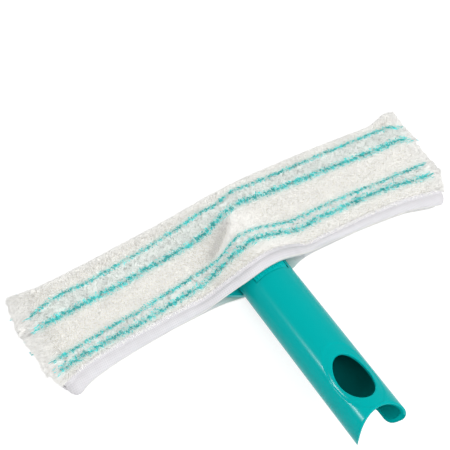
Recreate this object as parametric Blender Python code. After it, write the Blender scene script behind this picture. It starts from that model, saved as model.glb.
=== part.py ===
# Window washer with a T-bar head: a tubular handle clicks onto the bar's spigot, and a
# pocket-shaped pile cover is pulled over the bar. All lengths are metres, +Z is up and X runs
# along the bar. The cover lies flat on the ground and the handle rises towards -Y.

import math

import bmesh
import bpy
from mathutils import Matrix, Vector

# Fits
FIT_GAP = 0.0003
BODY_SEGMENTS = 64
FINE_SEGMENTS = 96
HOLE_SEGMENTS = 40
SMALL_SEGMENTS = 32

# Cover: two pile panels sewn together at the far edge and the ends, open on the handle's side
COVER_LENGTH = 0.290
COVER_WIDTH = 0.0658
COVER_BOW = 0.008
COVER_CORNER_RADIUS = 0.010
COVER_CENTRE_OFFSET = 0.0084
PANEL_THICKNESS = 0.005
PANEL_RIM = 0.0006
PANEL_ROLL = 0.008
PANEL_EDGE_THICKNESS = 0.0016
BACK_PANEL_SETBACK = 0.002
SEAM_REACH = 0.0052
SEAM_BLEND = 0.002
SEAM_WIDTH = 0.0037

# Binding tape folded over the mouth's two edges
BINDING_WIDTH = 0.011
BINDING_TAPE = 0.001
BINDING_FOLD = 0.0009
EDGE_BLEND = 0.0017

# Tent that the front panel makes over the handle's neck
TENT_LEFT_REACH = 0.052
TENT_RIGHT_REACH = 0.047
TENT_FAR_REACH = 0.012
TENT_FADE_START = 0.012
TENT_FADE_END_INSET = 0.0035

# How finely the cover is divided
NECK_STEP = 0.0075
BACK_STEP = 0.026
OUTER_STEPS = 3
FIELD_STEPS = 4
FAR_SEAM_STEPS = 12
SHOULDER_FACTOR = 1.3

# Head bar
BAR_THICKNESS = 0.006
BAR_WIDTH = 0.042
BAR_END_TAPER = 0.008
BAR_END_RADIUS = 0.010
BAR_CHAMFER = 0.001
BAR_SLOT_LENGTH = 0.022
BAR_SLOT_WIDTH = 0.012
BAR_SLOT_FIRST = 0.034
BAR_SLOT_PITCH = 0.033
BAR_SLOTS_PER_ARM = 3
BAR_ARM_STEPS = 8
BAR_END_ANGLES = (20, 40, 60, 76, 90)
SLOT_ROUND_POINTS = 16
FLARE_ANGLES = (0, 30, 60, 90)
GUSSET_THICKNESS = 0.006
GUSSET_FAR_INSET = 0.006
WEB_THICKNESS = 0.004
WEB_BASE_HALF = 0.036
WEB_SHOULDER_HALF = 0.0245
WEB_SHOULDER_INSET = 0.001
WEB_TIP_HALF = 0.013
WEB_TIP_REACH = 0.0045

# Hook and loop strips that hold the cover on the bar
STRIP_LENGTH = 0.060
STRIP_WIDTH = 0.007
STRIP_THICKNESS = 0.0012
STRIP_END_INSET = 0.0285
STRIP_EDGE_INSET = 0.0035

# Handle tube and the spigot it sits on
HANDLE_ANGLE = math.radians(22.0)
HANDLE_RADIUS = 0.017
HANDLE_WALL = 0.0027
HANDLE_TIP = 0.152
SADDLE_DEPTH = 0.006
UNDER_SLOT_LENGTH = 0.026
UNDER_SLOT_HALF_WIDTH = 0.0103
UNDER_SLOT_FLARE = 0.006
BUTTON_HOLE_LENGTH = 0.032
BUTTON_HOLE_WIDTH = 0.0205
BUTTON_HOLE_FROM_TIP = 0.0304
HUB_MARGIN = 0.0015
HUB_BACK = 0.004
FLANGE_LENGTH = 0.0045
SPIGOT_BEYOND_BUTTON = 0.014
SPIGOT_CORE_RADIUS = 0.008
SPIGOT_CORE_DEPTH = 0.010

# Release button that locks the handle on the spigot
BUTTON_FROM_TUBE_END = 0.005
BUTTON_LENGTH = 0.017
BUTTON_HALF_ANGLE = math.radians(44.0)
BUTTON_TRAVEL = 0.0048
BUTTON_CAP_SKIN = 0.0007
BUTTON_RIB_PITCH = 0.002
BUTTON_RIB_HEIGHT = 0.0005
BUTTON_RIB_TOP_START = 0.3
BUTTON_RIB_TOP_END = 0.7
BUTTON_ARC_STEPS = 12
BUTTON_LIP = 0.0017
BUTTON_LIP_THICKNESS = 0.0013
BUTTON_LIP_CLEARANCE = 0.0004
BUTTON_LIP_HALF_ANGLE = math.radians(38.0)
STEM_RADIUS = 0.004
STEM_LENGTH_BELOW_CAP = 0.0121
SPRING_WIRE_RADIUS = 0.0004
SPRING_TURNS = 4.5
SPRING_LENGTH = 0.0089
SPRING_POINTS_PER_TURN = 9

# Levels worked out from the sizes above
BAR_BOTTOM = PANEL_THICKNESS + FIT_GAP
BAR_TOP = BAR_BOTTOM + BAR_THICKNESS
MID_LEVEL = (BAR_BOTTOM + BAR_TOP) / 2
FRONT_UNDER = BAR_TOP + FIT_GAP
COVER_TOP = FRONT_UNDER + PANEL_THICKNESS
HALF_LENGTH = COVER_LENGTH / 2
TUBE_BORE_RADIUS = HANDLE_RADIUS - HANDLE_WALL
SPIGOT_RADIUS = TUBE_BORE_RADIUS - FIT_GAP
BINDING_GRIP = BINDING_TAPE + FIT_GAP
BAR_INSET = SEAM_REACH + SEAM_BLEND + SEAM_WIDTH + 2 * FIT_GAP

SLOPE = math.tan(HANDLE_ANGLE)
COVER_NEAR = COVER_CENTRE_OFFSET - COVER_WIDTH / 2
COVER_FAR = COVER_CENTRE_OFFSET + COVER_WIDTH / 2
BAR_FAR = COVER_FAR - BAR_INSET
BAR_NEAR = BAR_FAR - BAR_WIDTH
BAR_HALF_LENGTH = HALF_LENGTH - BAR_INSET
STRIP_CENTRE_X = BAR_HALF_LENGTH - STRIP_END_INSET - STRIP_LENGTH / 2
TUBE_START = math.cos(HANDLE_ANGLE) * (HUB_MARGIN - BAR_NEAR + BAR_THICKNESS / 2 * SLOPE)
BUTTON_START = TUBE_START + BUTTON_FROM_TUBE_END
BUTTON_END = BUTTON_START + BUTTON_LENGTH
BUTTON_MIDDLE = (BUTTON_START + BUTTON_END) / 2
SPIGOT_END = BUTTON_END + SPIGOT_BEYOND_BUTTON
CAP_UNDERSIDE = TUBE_BORE_RADIUS - BUTTON_CAP_SKIN
LIP_OUTER = TUBE_BORE_RADIUS - BUTTON_LIP_CLEARANCE
LIP_INNER = LIP_OUTER - BUTTON_LIP_THICKNESS
CAP_SKIRT = LIP_INNER * math.cos(BUTTON_LIP_HALF_ANGLE)
RECESS_FLOOR = CAP_SKIRT - BUTTON_TRAVEL - 2 * FIT_GAP
RIB_GROOVE_RADIUS = HANDLE_RADIUS - BUTTON_RIB_HEIGHT
BUTTON_HALF_WIDTH = RIB_GROOVE_RADIUS * math.sin(BUTTON_HALF_ANGLE)
STEM_BOTTOM = CAP_UNDERSIDE - STEM_LENGTH_BELOW_CAP
SPRING_TOP = STEM_BOTTOM - FIT_GAP
SPRING_BOTTOM = SPRING_TOP - SPRING_LENGTH
SPRING_FLOOR = SPRING_BOTTOM - FIT_GAP
STEM_BORE_RADIUS = STEM_RADIUS + FIT_GAP


def clear_scene():
    for obj in list(bpy.data.objects):
        bpy.data.objects.remove(obj)


def material(name, colour, roughness, metallic=0.0):
    made = bpy.data.materials.new(name)
    made.use_nodes = True
    shader = made.node_tree.nodes["Principled BSDF"]
    shader.inputs["Base Color"].default_value = (*colour, 1.0)
    shader.inputs["Roughness"].default_value = roughness
    shader.inputs["Metallic"].default_value = metallic
    return made


def empty(name, location, rotation=(0.0, 0.0, 0.0), parent=None):
    made = bpy.data.objects.new(name, None)
    bpy.context.scene.collection.objects.link(made)
    made.location = location
    made.rotation_euler = rotation
    made.parent = parent
    return made


def object_from(bm, name, parent, finish=None, smooth_angle=35.0):
    """An object of this bmesh, a hidden cutter when it has no finish."""
    bmesh.ops.recalc_face_normals(bm, faces=bm.faces)
    mesh = bpy.data.meshes.new(name)
    bm.to_mesh(mesh)
    bm.free()
    obj = bpy.data.objects.new(name, mesh)
    bpy.context.scene.collection.objects.link(obj)
    obj.parent = parent
    if finish is None:
        obj.hide_render = True
        obj.display_type = "WIRE"
        return obj
    mesh.materials.append(finish)
    mesh.shade_smooth()
    mesh.set_sharp_from_angle(angle=math.radians(smooth_angle))
    return obj


def boolean(target, other, operation):
    step = target.modifiers.new(f"{operation.lower()} {other.name}", "BOOLEAN")
    step.operation = operation
    step.solver = "EXACT"
    step.object = other


def box(low, high):
    bm = bmesh.new()
    centre = (Vector(low) + Vector(high)) / 2
    size = Vector(high) - Vector(low)
    place = Matrix.Translation(centre) @ Matrix.Diagonal((*size, 1.0))
    bmesh.ops.create_cube(bm, size=1.0, matrix=place)
    return bm


def cylinder(radius, start, end, axis="Y", centre=(0.0, 0.0), segments=BODY_SEGMENTS, squash=1.0):
    """A cylinder from start to end along an axis. Centre holds its other two coordinates."""
    bm = bmesh.new()
    bmesh.ops.create_cone(
        bm, cap_ends=True, segments=segments, radius1=radius, radius2=radius, depth=abs(end - start)
    )
    middle = (start + end) / 2
    if axis == "Y":
        turn = Matrix.Rotation(math.radians(90.0), 4, "X")
        shift = Matrix.Translation((centre[0], middle, centre[1]))
    else:
        turn = Matrix.Diagonal((1.0, squash, 1.0, 1.0))
        shift = Matrix.Translation((centre[0], centre[1], middle))
    bmesh.ops.transform(bm, matrix=shift @ turn, verts=bm.verts)
    return bm


def loft(rings):
    """A closed solid through rings with the same number of points, capped at both ends."""
    bm = bmesh.new()
    rows = [[bm.verts.new(point) for point in ring] for ring in rings]
    for first, second in zip(rows, rows[1:]):
        for i in range(len(first)):
            j = (i + 1) % len(first)
            bm.faces.new((first[i], first[j], second[j], second[i]))
    bm.faces.new(rows[0])
    bm.faces.new(rows[-1])
    return bm


def prism(outline, start, end):
    """An outline in X and Z pulled along Y from start to end."""
    return loft([[(x, y, z) for x, z in outline] for y in (start, end)])


def smooth_step(value):
    t = min(max(value, 0.0), 1.0)
    return t * t * (3 - 2 * t)


def bow(x):
    """How far a long edge at this X lies towards the handle, against the middle."""
    return COVER_BOW * (x / HALF_LENGTH) ** 2


def corner_cut(x):
    """What the rounded corner takes off a long edge at this X."""
    left = min(max(HALF_LENGTH - abs(x), 0.0), COVER_CORNER_RADIUS)
    across = COVER_CORNER_RADIUS - left
    return COVER_CORNER_RADIUS - math.sqrt(COVER_CORNER_RADIUS**2 - across**2)


def near_edge(x):
    return COVER_NEAR - bow(x) + corner_cut(x)


def far_edge(x):
    return COVER_FAR - bow(x) - corner_cut(x)


def sewn_depth(x, y):
    """Distance inwards from the nearest sewn edge: an end or the far edge."""
    from_end = HALF_LENGTH - abs(x)
    from_far = COVER_FAR - bow(x) - y
    in_corner = from_end < COVER_CORNER_RADIUS and from_far < COVER_CORNER_RADIUS
    if in_corner:
        reach = math.hypot(COVER_CORNER_RADIUS - from_end, COVER_CORNER_RADIUS - from_far)
        return max(COVER_CORNER_RADIUS - reach, 0.0)
    return max(min(from_end, from_far), 0.0)


def tube_top(y):
    """Height of the handle tube's highest line at this Y."""
    return MID_LEVEL + HANDLE_RADIUS / math.cos(HANDLE_ANGLE) - y * SLOPE


def tent(x, y):
    """How far the front panel is lifted by the handle's neck."""
    peak = tube_top(y) + BINDING_GRIP + FIT_GAP - FRONT_UNDER
    fade_end = COVER_FAR - TENT_FADE_END_INSET
    fade = 1 - smooth_step((y - TENT_FADE_START) / (fade_end - TENT_FADE_START))
    mouth_reach = TENT_LEFT_REACH if x < 0 else TENT_RIGHT_REACH
    along = min(max((fade_end - y) / (fade_end - COVER_NEAR), 0.0), 1.0)
    reach = TENT_FAR_REACH + (mouth_reach - TENT_FAR_REACH) * along
    if abs(x) >= reach:
        return 0.0
    return max(peak, 0.0) * fade * math.cos(math.pi * x / (2 * reach)) ** 2


def edge_blend(from_mouth):
    """0 in the strip that the binding grips, 1 where the panel has its full thickness."""
    return smooth_step((from_mouth - BINDING_WIDTH - FIT_GAP) / EDGE_BLEND)


def sewn_lift(depth):
    """How far a panel's inner face stands off the middle level, this deep inside a sewn edge."""
    full = FRONT_UNDER - MID_LEVEL - FIT_GAP / 2
    return FIT_GAP / 2 + full * smooth_step((depth - SEAM_REACH) / SEAM_BLEND)


def sewn_thickness(depth):
    """A panel's thickness where its pile rolls over a sewn edge."""
    rise = math.sqrt(1 - (1 - min(depth / PANEL_ROLL, 1.0)) ** 2)
    top = COVER_TOP - MID_LEVEL - FIT_GAP / 2 - PANEL_RIM
    return FIT_GAP / 2 + PANEL_RIM + top * rise - sewn_lift(depth)


def front_faces(x, y):
    """Heights of the front panel's inner and outer face."""
    depth = sewn_depth(x, y)
    blend = edge_blend(y - near_edge(x))
    inner = MID_LEVEL + sewn_lift(depth) + BINDING_GRIP * (1 - blend) + tent(x, y)
    full = sewn_thickness(depth)
    thin = min(full, PANEL_EDGE_THICKNESS)
    return inner, inner + thin + (full - thin) * blend


def back_faces(x, y):
    """Heights of the back panel's outer and inner face."""
    depth = sewn_depth(x, y)
    blend = edge_blend(y - near_edge(x) - BACK_PANEL_SETBACK)
    inner = MID_LEVEL - sewn_lift(depth)
    full = sewn_thickness(depth)
    thin = min(full, PANEL_EDGE_THICKNESS)
    low = max(inner - full, 0.0)
    edge_low = BINDING_GRIP
    outer = low * blend + edge_low * (1 - blend)
    top = inner * blend + (edge_low + thin) * (1 - blend)
    return outer, top


def stations(end_inset, middle_step):
    """X places for a loft: close together at the ends and over the neck, wider between."""
    reach = max(TENT_LEFT_REACH, TENT_RIGHT_REACH)
    count = round(reach / middle_step)
    right = [reach * i / count for i in range(1, count + 1)]
    last = HALF_LENGTH - COVER_CORNER_RADIUS - SEAM_WIDTH
    right += [reach + (last - reach) * i / OUTER_STEPS for i in range(1, OUTER_STEPS + 1)]
    ends = (COVER_CORNER_RADIUS, SEAM_REACH + SEAM_BLEND, SEAM_REACH, SEAM_BLEND, PANEL_RIM, 0.0)
    right += [HALF_LENGTH - inset for inset in ends if inset > end_inset]
    right.append(HALF_LENGTH - end_inset)
    return [-x for x in reversed(right)] + [0.0] + right


def panel_points(x, mouth_inset):
    """Y places across a panel at this X, from its mouth edge to its far edge."""
    near = near_edge(x) + mouth_inset
    far = far_edge(x)
    grip = BINDING_WIDTH - (BINDING_TAPE + FIT_GAP)
    blended = grip + EDGE_BLEND
    first = [0.0, grip / 2, grip + FIT_GAP, blended + FIT_GAP, blended + EDGE_BLEND * 2]
    step_in = SEAM_REACH + SEAM_BLEND
    shoulder = max(PANEL_ROLL, step_in) * SHOULDER_FACTOR
    last = [shoulder, step_in, SEAM_REACH, SEAM_REACH / 2, PANEL_RIM, 0.0]
    low = near + first[-1]
    high = far - last[0]
    middle = [low + (high - low) * i / FIELD_STEPS for i in range(1, FIELD_STEPS)]
    return [near + step for step in first] + middle + [far - step for step in last]


def panel(name, faces, mouth_inset, places, finish, parent):
    rings = []
    for x in places:
        across = panel_points(x, mouth_inset)
        heights = [faces(x, y) for y in across]
        outer = [(x, y, pair[1]) for y, pair in zip(across, heights)]
        inner = [(x, y, pair[0]) for y, pair in zip(across, heights)]
        rings.append(outer + inner[::-1])
    return object_from(loft(rings), name, parent, finish)


def binding(name, panel_low, mouth_inset, places, finish, parent):
    """Tape folded round a mouth edge. panel_low gives the height of the gripped strip's underside."""
    grip = PANEL_EDGE_THICKNESS + 2 * FIT_GAP
    depths = (BINDING_WIDTH, BINDING_WIDTH / 2, BINDING_TAPE)
    rings = []
    for x in places:
        near = near_edge(x) + mouth_inset

        def point(depth, height):
            return (x, near + depth, panel_low(x, near + depth) - FIT_GAP + height)

        fold = BINDING_FOLD
        low, high = -BINDING_TAPE, grip + BINDING_TAPE
        ring = [point(0.0, low + fold), point(fold, low)]
        ring += [point(depth, low) for depth in reversed(depths[:2])]
        ring += [point(depth, 0.0) for depth in depths]
        ring += [point(depth, grip) for depth in reversed(depths)]
        ring += [point(depth, high) for depth in depths[:2]]
        ring += [point(fold, high), point(0.0, high - fold)]
        rings.append(ring)
    return object_from(loft(rings), name, parent, finish)


def front_grip_low(x, y):
    """Underside of the front panel's gripped strip, carried on past the panel's edge."""
    depth = sewn_depth(x, max(y, near_edge(x)))
    return MID_LEVEL + sewn_lift(depth) + BINDING_GRIP + tent(x, y)


def back_grip_low(_x, _y):
    """The back panel's gripped strip lies level, just above the tape under it."""
    return BINDING_GRIP


def add_cover(finishes, parent):
    fold_inset = BINDING_TAPE + FIT_GAP
    front_places = stations(0.0, NECK_STEP)
    back_places = stations(0.0, BACK_STEP)
    panel("cover_front_panel", front_faces, fold_inset, front_places, finishes["pile"], parent)
    back = panel(
        "cover_back_panel",
        back_faces,
        BACK_PANEL_SETBACK + fold_inset,
        back_places,
        finishes["pile"],
        parent,
    )
    tape = finishes["binding"]
    inset = SEAM_BLEND / 2
    front_tape = stations(inset, NECK_STEP)
    back_tape = stations(inset, BACK_STEP)
    binding("front_binding", front_grip_low, 0.0, front_tape, tape, parent)
    binding("back_binding", back_grip_low, BACK_PANEL_SETBACK, back_tape, tape, parent)
    add_seams(finishes["seam"], parent)
    for side, sign in (("left", -1), ("right", 1)):
        add_loop_strip(back, side, sign, finishes["loop"], parent)


def add_seams(finish, parent):
    """Turned-in seam allowances inside the pocket, along the far edge and both ends."""
    outer = SEAM_REACH + SEAM_BLEND + FIT_GAP
    inner = outer + SEAM_WIDTH
    end = HALF_LENGTH - COVER_CORNER_RADIUS - SEAM_BLEND
    rings = []
    for i in range(FAR_SEAM_STEPS + 1):
        x = -end + 2 * end * i / FAR_SEAM_STEPS
        far = COVER_FAR - bow(x)
        section = ((far - inner, BAR_BOTTOM), (far - outer, BAR_BOTTOM), (far - outer, BAR_TOP))
        rings.append([(x, y, z) for y, z in (*section, (far - inner, BAR_TOP))])
    object_from(loft(rings), "far_seam", parent, finish)
    mouth = near_edge(HALF_LENGTH - outer) + BACK_PANEL_SETBACK + BINDING_FOLD
    stop = COVER_FAR - bow(HALF_LENGTH) - inner - SEAM_BLEND
    for side, sign in (("left", -1), ("right", 1)):
        first, second = sorted((sign * (HALF_LENGTH - inner), sign * (HALF_LENGTH - outer)))
        shape = box((first, mouth, BAR_BOTTOM), (second, stop, BAR_TOP))
        object_from(shape, f"end_seam_{side}", parent, finish)


def strip_place(sign, gap=0.0):
    """Plan corners of a hook or loop strip, grown by a gap for its recess."""
    x = sign * STRIP_CENTRE_X
    middle = BAR_NEAR - bow(STRIP_CENTRE_X) + STRIP_EDGE_INSET + STRIP_WIDTH / 2
    half_x = STRIP_LENGTH / 2 + gap
    half_y = STRIP_WIDTH / 2 + gap
    return (x - half_x, middle - half_y), (x + half_x, middle + half_y)


def add_loop_strip(back, side, sign, finish, parent):
    low, high = strip_place(sign, FIT_GAP)
    floor = PANEL_THICKNESS - STRIP_THICKNESS
    recess = box((*low, floor - FIT_GAP), (*high, BAR_TOP))
    boolean(back, object_from(recess, f"loop_recess_{side}", parent), "DIFFERENCE")
    low, high = strip_place(sign)
    object_from(box((*low, floor), (*high, PANEL_THICKNESS)), f"loop_strip_{side}", parent, finish)


def bar_half_width(x):
    """Half the bar's width at this X: tapered along the arm and rounded at its end."""
    share = abs(x) / BAR_HALF_LENGTH
    taper = BAR_END_TAPER * share / 2
    left = min(max(BAR_HALF_LENGTH - abs(x), 0.0), BAR_END_RADIUS)
    across = BAR_END_RADIUS - left
    return BAR_WIDTH / 2 - taper - BAR_END_RADIUS + math.sqrt(BAR_END_RADIUS**2 - across**2)


def bar_ring(x):
    middle = (BAR_NEAR + BAR_FAR) / 2 - bow(x)
    half = bar_half_width(x)
    low, high, cut = BAR_BOTTOM, BAR_TOP, BAR_CHAMFER
    return [
        (x, middle - half + cut, low),
        (x, middle + half - cut, low),
        (x, middle + half, low + cut),
        (x, middle + half, high - cut),
        (x, middle + half - cut, high),
        (x, middle - half + cut, high),
        (x, middle - half, high - cut),
        (x, middle - half, low + cut),
    ]


def add_head_bar(finishes, parent, tilted):
    arm = BAR_HALF_LENGTH - BAR_END_RADIUS
    right = [arm * i / BAR_ARM_STEPS for i in range(1, BAR_ARM_STEPS + 1)]
    right += [arm + BAR_END_RADIUS * math.sin(math.radians(angle)) for angle in BAR_END_ANGLES]
    places = [-x for x in reversed(right)] + [0.0] + right
    bar = object_from(loft([bar_ring(x) for x in places]), "head_bar", parent, finishes["bar"])
    spigot = cylinder(SPIGOT_RADIUS, HUB_BACK, -SPIGOT_END)
    boolean(bar, object_from(spigot, "spigot_shape", tilted), "UNION")
    flange_end = TUBE_START - FIT_GAP
    flange = cylinder(HANDLE_RADIUS, FLANGE_LENGTH - flange_end, -flange_end)
    boolean(bar, object_from(flange, "flange_shape", tilted), "UNION")
    boolean(bar, object_from(gusset_shape(), "gusset_shape", parent), "UNION")
    web = object_from(web_shape(), "web_shape", parent)
    sleeve = cylinder(HANDLE_RADIUS + FIT_GAP, -flange_end, -HANDLE_TIP)
    boolean(web, object_from(sleeve, "web_clearance", tilted), "DIFFERENCE")
    boolean(bar, web, "UNION")
    reach = HANDLE_TIP
    under = box((-reach, -reach, -reach), (reach, reach, BAR_BOTTOM))
    boolean(bar, object_from(under, "under_bar_cut", parent), "DIFFERENCE")
    cut_spigot(bar, tilted)
    for side, sign in (("left", -1), ("right", 1)):
        cut_arm(bar, side, sign, parent)
        low, high = strip_place(sign, FIT_GAP)
        recess = box((*low, 0.0), (*high, BAR_BOTTOM + STRIP_THICKNESS + FIT_GAP))
        boolean(bar, object_from(recess, f"hook_recess_{side}", parent), "DIFFERENCE")
        low, high = strip_place(sign)
        strip = box((*low, BAR_BOTTOM), (*high, BAR_BOTTOM + STRIP_THICKNESS))
        object_from(strip, f"hook_strip_{side}", parent, finishes["hook"])


def gusset_shape():
    """Rib from the flange's top down to the bar's far side."""
    flange_back = TUBE_START - FIT_GAP - FLANGE_LENGTH / 2
    top_y = -flange_back * math.cos(HANDLE_ANGLE) + HANDLE_RADIUS * math.sin(HANDLE_ANGLE)
    half = GUSSET_THICKNESS / 2
    drop = HANDLE_WALL / 2
    outline = (
        (top_y, tube_top(top_y) - drop),
        (top_y, MID_LEVEL),
        (BAR_FAR - GUSSET_FAR_INSET, MID_LEVEL),
        (BAR_FAR - GUSSET_FAR_INSET, BAR_TOP + BAR_CHAMFER / 2),
    )
    return loft([[(x, y, z) for y, z in outline] for x in (-half, half)])


def web_shape():
    """Flat web between the bar and the neck: it narrows to the mouth, then to the tube's sides."""
    base, shoulder, tip = WEB_BASE_HALF, WEB_SHOULDER_HALF, WEB_TIP_HALF
    inside = BAR_NEAR + bow(base) + BAR_END_RADIUS
    near = COVER_NEAR + WEB_SHOULDER_INSET
    half = [(base, inside), (base, BAR_NEAR), (shoulder, near), (tip, COVER_NEAR - WEB_TIP_REACH)]
    outline = half + [(-x, y) for x, y in reversed(half)]
    low, high = MID_LEVEL - WEB_THICKNESS / 2, MID_LEVEL + WEB_THICKNESS / 2
    return loft([[(x, y, z) for x, y in outline] for z in (low, high)])


def cut_spigot(bar, tilted):
    """The release button's recess, its stem's bore and the open core at the spigot's end."""
    clear = 2 * HANDLE_RADIUS
    ends = BUTTON_LIP + FIT_GAP
    recess = box(
        (-clear, -BUTTON_END - ends, RECESS_FLOOR), (clear, -BUTTON_START + ends, clear)
    )
    boolean(bar, object_from(recess, "button_recess", tilted), "DIFFERENCE")
    bore = cylinder(
        STEM_BORE_RADIUS, SPRING_FLOOR, HANDLE_RADIUS, "Z", (0.0, -BUTTON_MIDDLE), SMALL_SEGMENTS
    )
    boolean(bar, object_from(bore, "stem_bore", tilted), "DIFFERENCE")
    deep = SPIGOT_END - SPIGOT_CORE_DEPTH
    core = cylinder(SPIGOT_CORE_RADIUS, -SPIGOT_END - clear, -deep, segments=SMALL_SEGMENTS)
    boolean(bar, object_from(core, "spigot_core", tilted), "DIFFERENCE")


def cut_arm(bar, side, sign, parent):
    """Lightening slots with round ends along one arm."""
    radius = BAR_SLOT_WIDTH / 2
    straight = BAR_SLOT_LENGTH / 2 - radius
    for index in range(BAR_SLOTS_PER_ARM):
        x = sign * (BAR_SLOT_FIRST + BAR_SLOT_PITCH * index)
        y = BAR_FAR - BAR_SLOT_WIDTH - bow(x)
        rims = []
        for level in (0.0, BAR_TOP + BAR_THICKNESS):
            rim = []
            for step in range(SLOT_ROUND_POINTS):
                angle = math.tau * (step + 0.5) / SLOT_ROUND_POINTS
                shift = straight if math.cos(angle) > 0 else -straight
                rim.append((x + shift + radius * math.cos(angle), y + radius * math.sin(angle), level))
            rims.append(rim)
        slot = object_from(loft(rims), f"arm_slot_{side}_{index + 1}", parent)
        boolean(bar, slot, "DIFFERENCE")


def add_handle_tube(finish, parent, tilted):
    tube = object_from(
        cylinder(HANDLE_RADIUS, -TUBE_START, -HANDLE_TIP), "handle_tube", tilted, finish
    )
    clear = HANDLE_RADIUS
    bore = cylinder(TUBE_BORE_RADIUS, -TUBE_START + clear, -HANDLE_TIP - clear)
    boolean(tube, object_from(bore, "handle_bore", tilted), "DIFFERENCE")
    saddle_radius = (HANDLE_RADIUS**2 + SADDLE_DEPTH**2) / (2 * SADDLE_DEPTH)
    saddle_y = -(HANDLE_TIP - SADDLE_DEPTH + saddle_radius)
    saddle = cylinder(saddle_radius, -2 * clear, 2 * clear, "Z", (0.0, saddle_y), FINE_SEGMENTS)
    boolean(tube, object_from(saddle, "saddle_cut", tilted), "DIFFERENCE")
    boolean(tube, object_from(under_slot(clear), "under_slot_cut", tilted), "DIFFERENCE")
    hole_y = -(HANDLE_TIP - BUTTON_HOLE_FROM_TIP)
    hole = cylinder(
        BUTTON_HOLE_WIDTH / 2,
        0.0,
        2 * clear,
        "Z",
        (0.0, hole_y),
        segments=HOLE_SEGMENTS,
        squash=BUTTON_HOLE_LENGTH / BUTTON_HOLE_WIDTH,
    )
    boolean(tube, object_from(hole, "pole_button_hole", tilted), "DIFFERENCE")
    side = BUTTON_HALF_WIDTH + FIT_GAP
    window = box(
        (-side, -BUTTON_END - FIT_GAP, 0.0), (side, -BUTTON_START + FIT_GAP, 2 * HANDLE_RADIUS)
    )
    boolean(tube, object_from(window, "button_window", tilted), "DIFFERENCE")
    reach = 2 * HANDLE_TIP
    under = box((-reach, -reach, -reach), (reach, reach, BAR_BOTTOM))
    boolean(tube, object_from(under, "under_tube_cut", parent), "DIFFERENCE")


def under_slot(clear):
    """Cutter for the slot in the tube's underside: a round inner end, straight sides and a
    mouth that flares out to the tips."""
    half = UNDER_SLOT_HALF_WIDTH
    flare = UNDER_SLOT_FLARE
    inner = HANDLE_TIP - UNDER_SLOT_LENGTH + half
    angles = [math.pi * step / SLOT_ROUND_POINTS for step in range(SLOT_ROUND_POINTS + 1)]
    outline = [(-half * math.cos(angle), -(inner - half * math.sin(angle))) for angle in angles]
    turns = [math.radians(angle) for angle in FLARE_ANGLES]
    side = [
        (half + flare * (1 - math.cos(turn)), -(HANDLE_TIP - flare + flare * math.sin(turn)))
        for turn in turns
    ]
    mouth = -(HANDLE_TIP + clear)
    outline += side + [(half + flare, mouth), (-half - flare, mouth)]
    outline += [(-x, y) for x, y in reversed(side)]
    return loft([[(x, y, z) for x, y in outline] for z in (-2 * clear, 0.0)])


def arc(radius, first, last, steps):
    """Points in X and Z on an arc round the handle's axis. Angles run from its top."""
    angles = [first + (last - first) * i / steps for i in range(steps + 1)]
    return [(radius * math.sin(angle), radius * math.cos(angle)) for angle in angles]


def ribbed_outline():
    """Cross-section of the button's cap: ribs that run along the handle, and sides that are
    straight, so that they slide down through the tube's window."""
    pitch = BUTTON_RIB_PITCH / HANDLE_RADIUS
    count = int(2 * BUTTON_HALF_ANGLE / pitch)
    step = 2 * BUTTON_HALF_ANGLE / count
    low = RIB_GROOVE_RADIUS
    points = []
    for index in range(count):
        start = -BUTTON_HALF_ANGLE + step * index
        top = HANDLE_RADIUS
        for share, radius in ((0.0, low), (BUTTON_RIB_TOP_START, top), (BUTTON_RIB_TOP_END, top)):
            angle = start + step * share
            points.append((radius * math.sin(angle), radius * math.cos(angle)))
    side = BUTTON_HALF_WIDTH
    points.append((side, low * math.cos(BUTTON_HALF_ANGLE)))
    points.append((side, CAP_SKIRT))
    turn = math.acos(CAP_SKIRT / CAP_UNDERSIDE)
    points += arc(CAP_UNDERSIDE, turn, -turn, BUTTON_ARC_STEPS)
    points.append((-side, CAP_SKIRT))
    return points


def add_release_button(finishes, tilted):
    """The button's origin lies on the line that it is pressed along."""
    pressed = empty("button_travel_line", (0.0, -BUTTON_MIDDLE, 0.0), parent=tilted)
    half = BUTTON_LENGTH / 2
    cap = prism(ribbed_outline(), -half, half)
    button = object_from(cap, "release_button", pressed, finishes["button"])
    angle = BUTTON_LIP_HALF_ANGLE
    steps = BUTTON_ARC_STEPS
    lip_outline = arc(LIP_OUTER, -angle, angle, steps) + arc(LIP_INNER, angle, -angle, steps)
    lip = prism(lip_outline, -half - BUTTON_LIP, half + BUTTON_LIP)
    boolean(button, object_from(lip, "button_lip_shape", pressed), "UNION")
    stem = cylinder(STEM_RADIUS, STEM_BOTTOM, LIP_OUTER - FIT_GAP, "Z", segments=SMALL_SEGMENTS)
    boolean(button, object_from(stem, "button_stem_shape", pressed), "UNION")
    add_spring(finishes["steel"], pressed)


def add_spring(finish, pressed):
    """One open coil between the bore's floor and the button's stem."""
    radius = STEM_RADIUS - SPRING_WIRE_RADIUS - FIT_GAP
    low = SPRING_BOTTOM + SPRING_WIRE_RADIUS
    high = SPRING_TOP - SPRING_WIRE_RADIUS
    count = round(SPRING_TURNS * SPRING_POINTS_PER_TURN)
    curve = bpy.data.curves.new("button_spring", "CURVE")
    curve.dimensions = "3D"
    curve.bevel_depth = SPRING_WIRE_RADIUS
    curve.bevel_resolution = 1
    curve.use_fill_caps = True
    spline = curve.splines.new("POLY")
    spline.points.add(count)
    for index, point in enumerate(spline.points):
        angle = math.tau * SPRING_TURNS * index / count
        height = low + (high - low) * index / count
        point.co = (radius * math.cos(angle), radius * math.sin(angle), height, 1.0)
    spring = bpy.data.objects.new("button_spring", curve)
    bpy.context.scene.collection.objects.link(spring)
    spring.parent = pressed
    curve.materials.append(finish)


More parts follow.
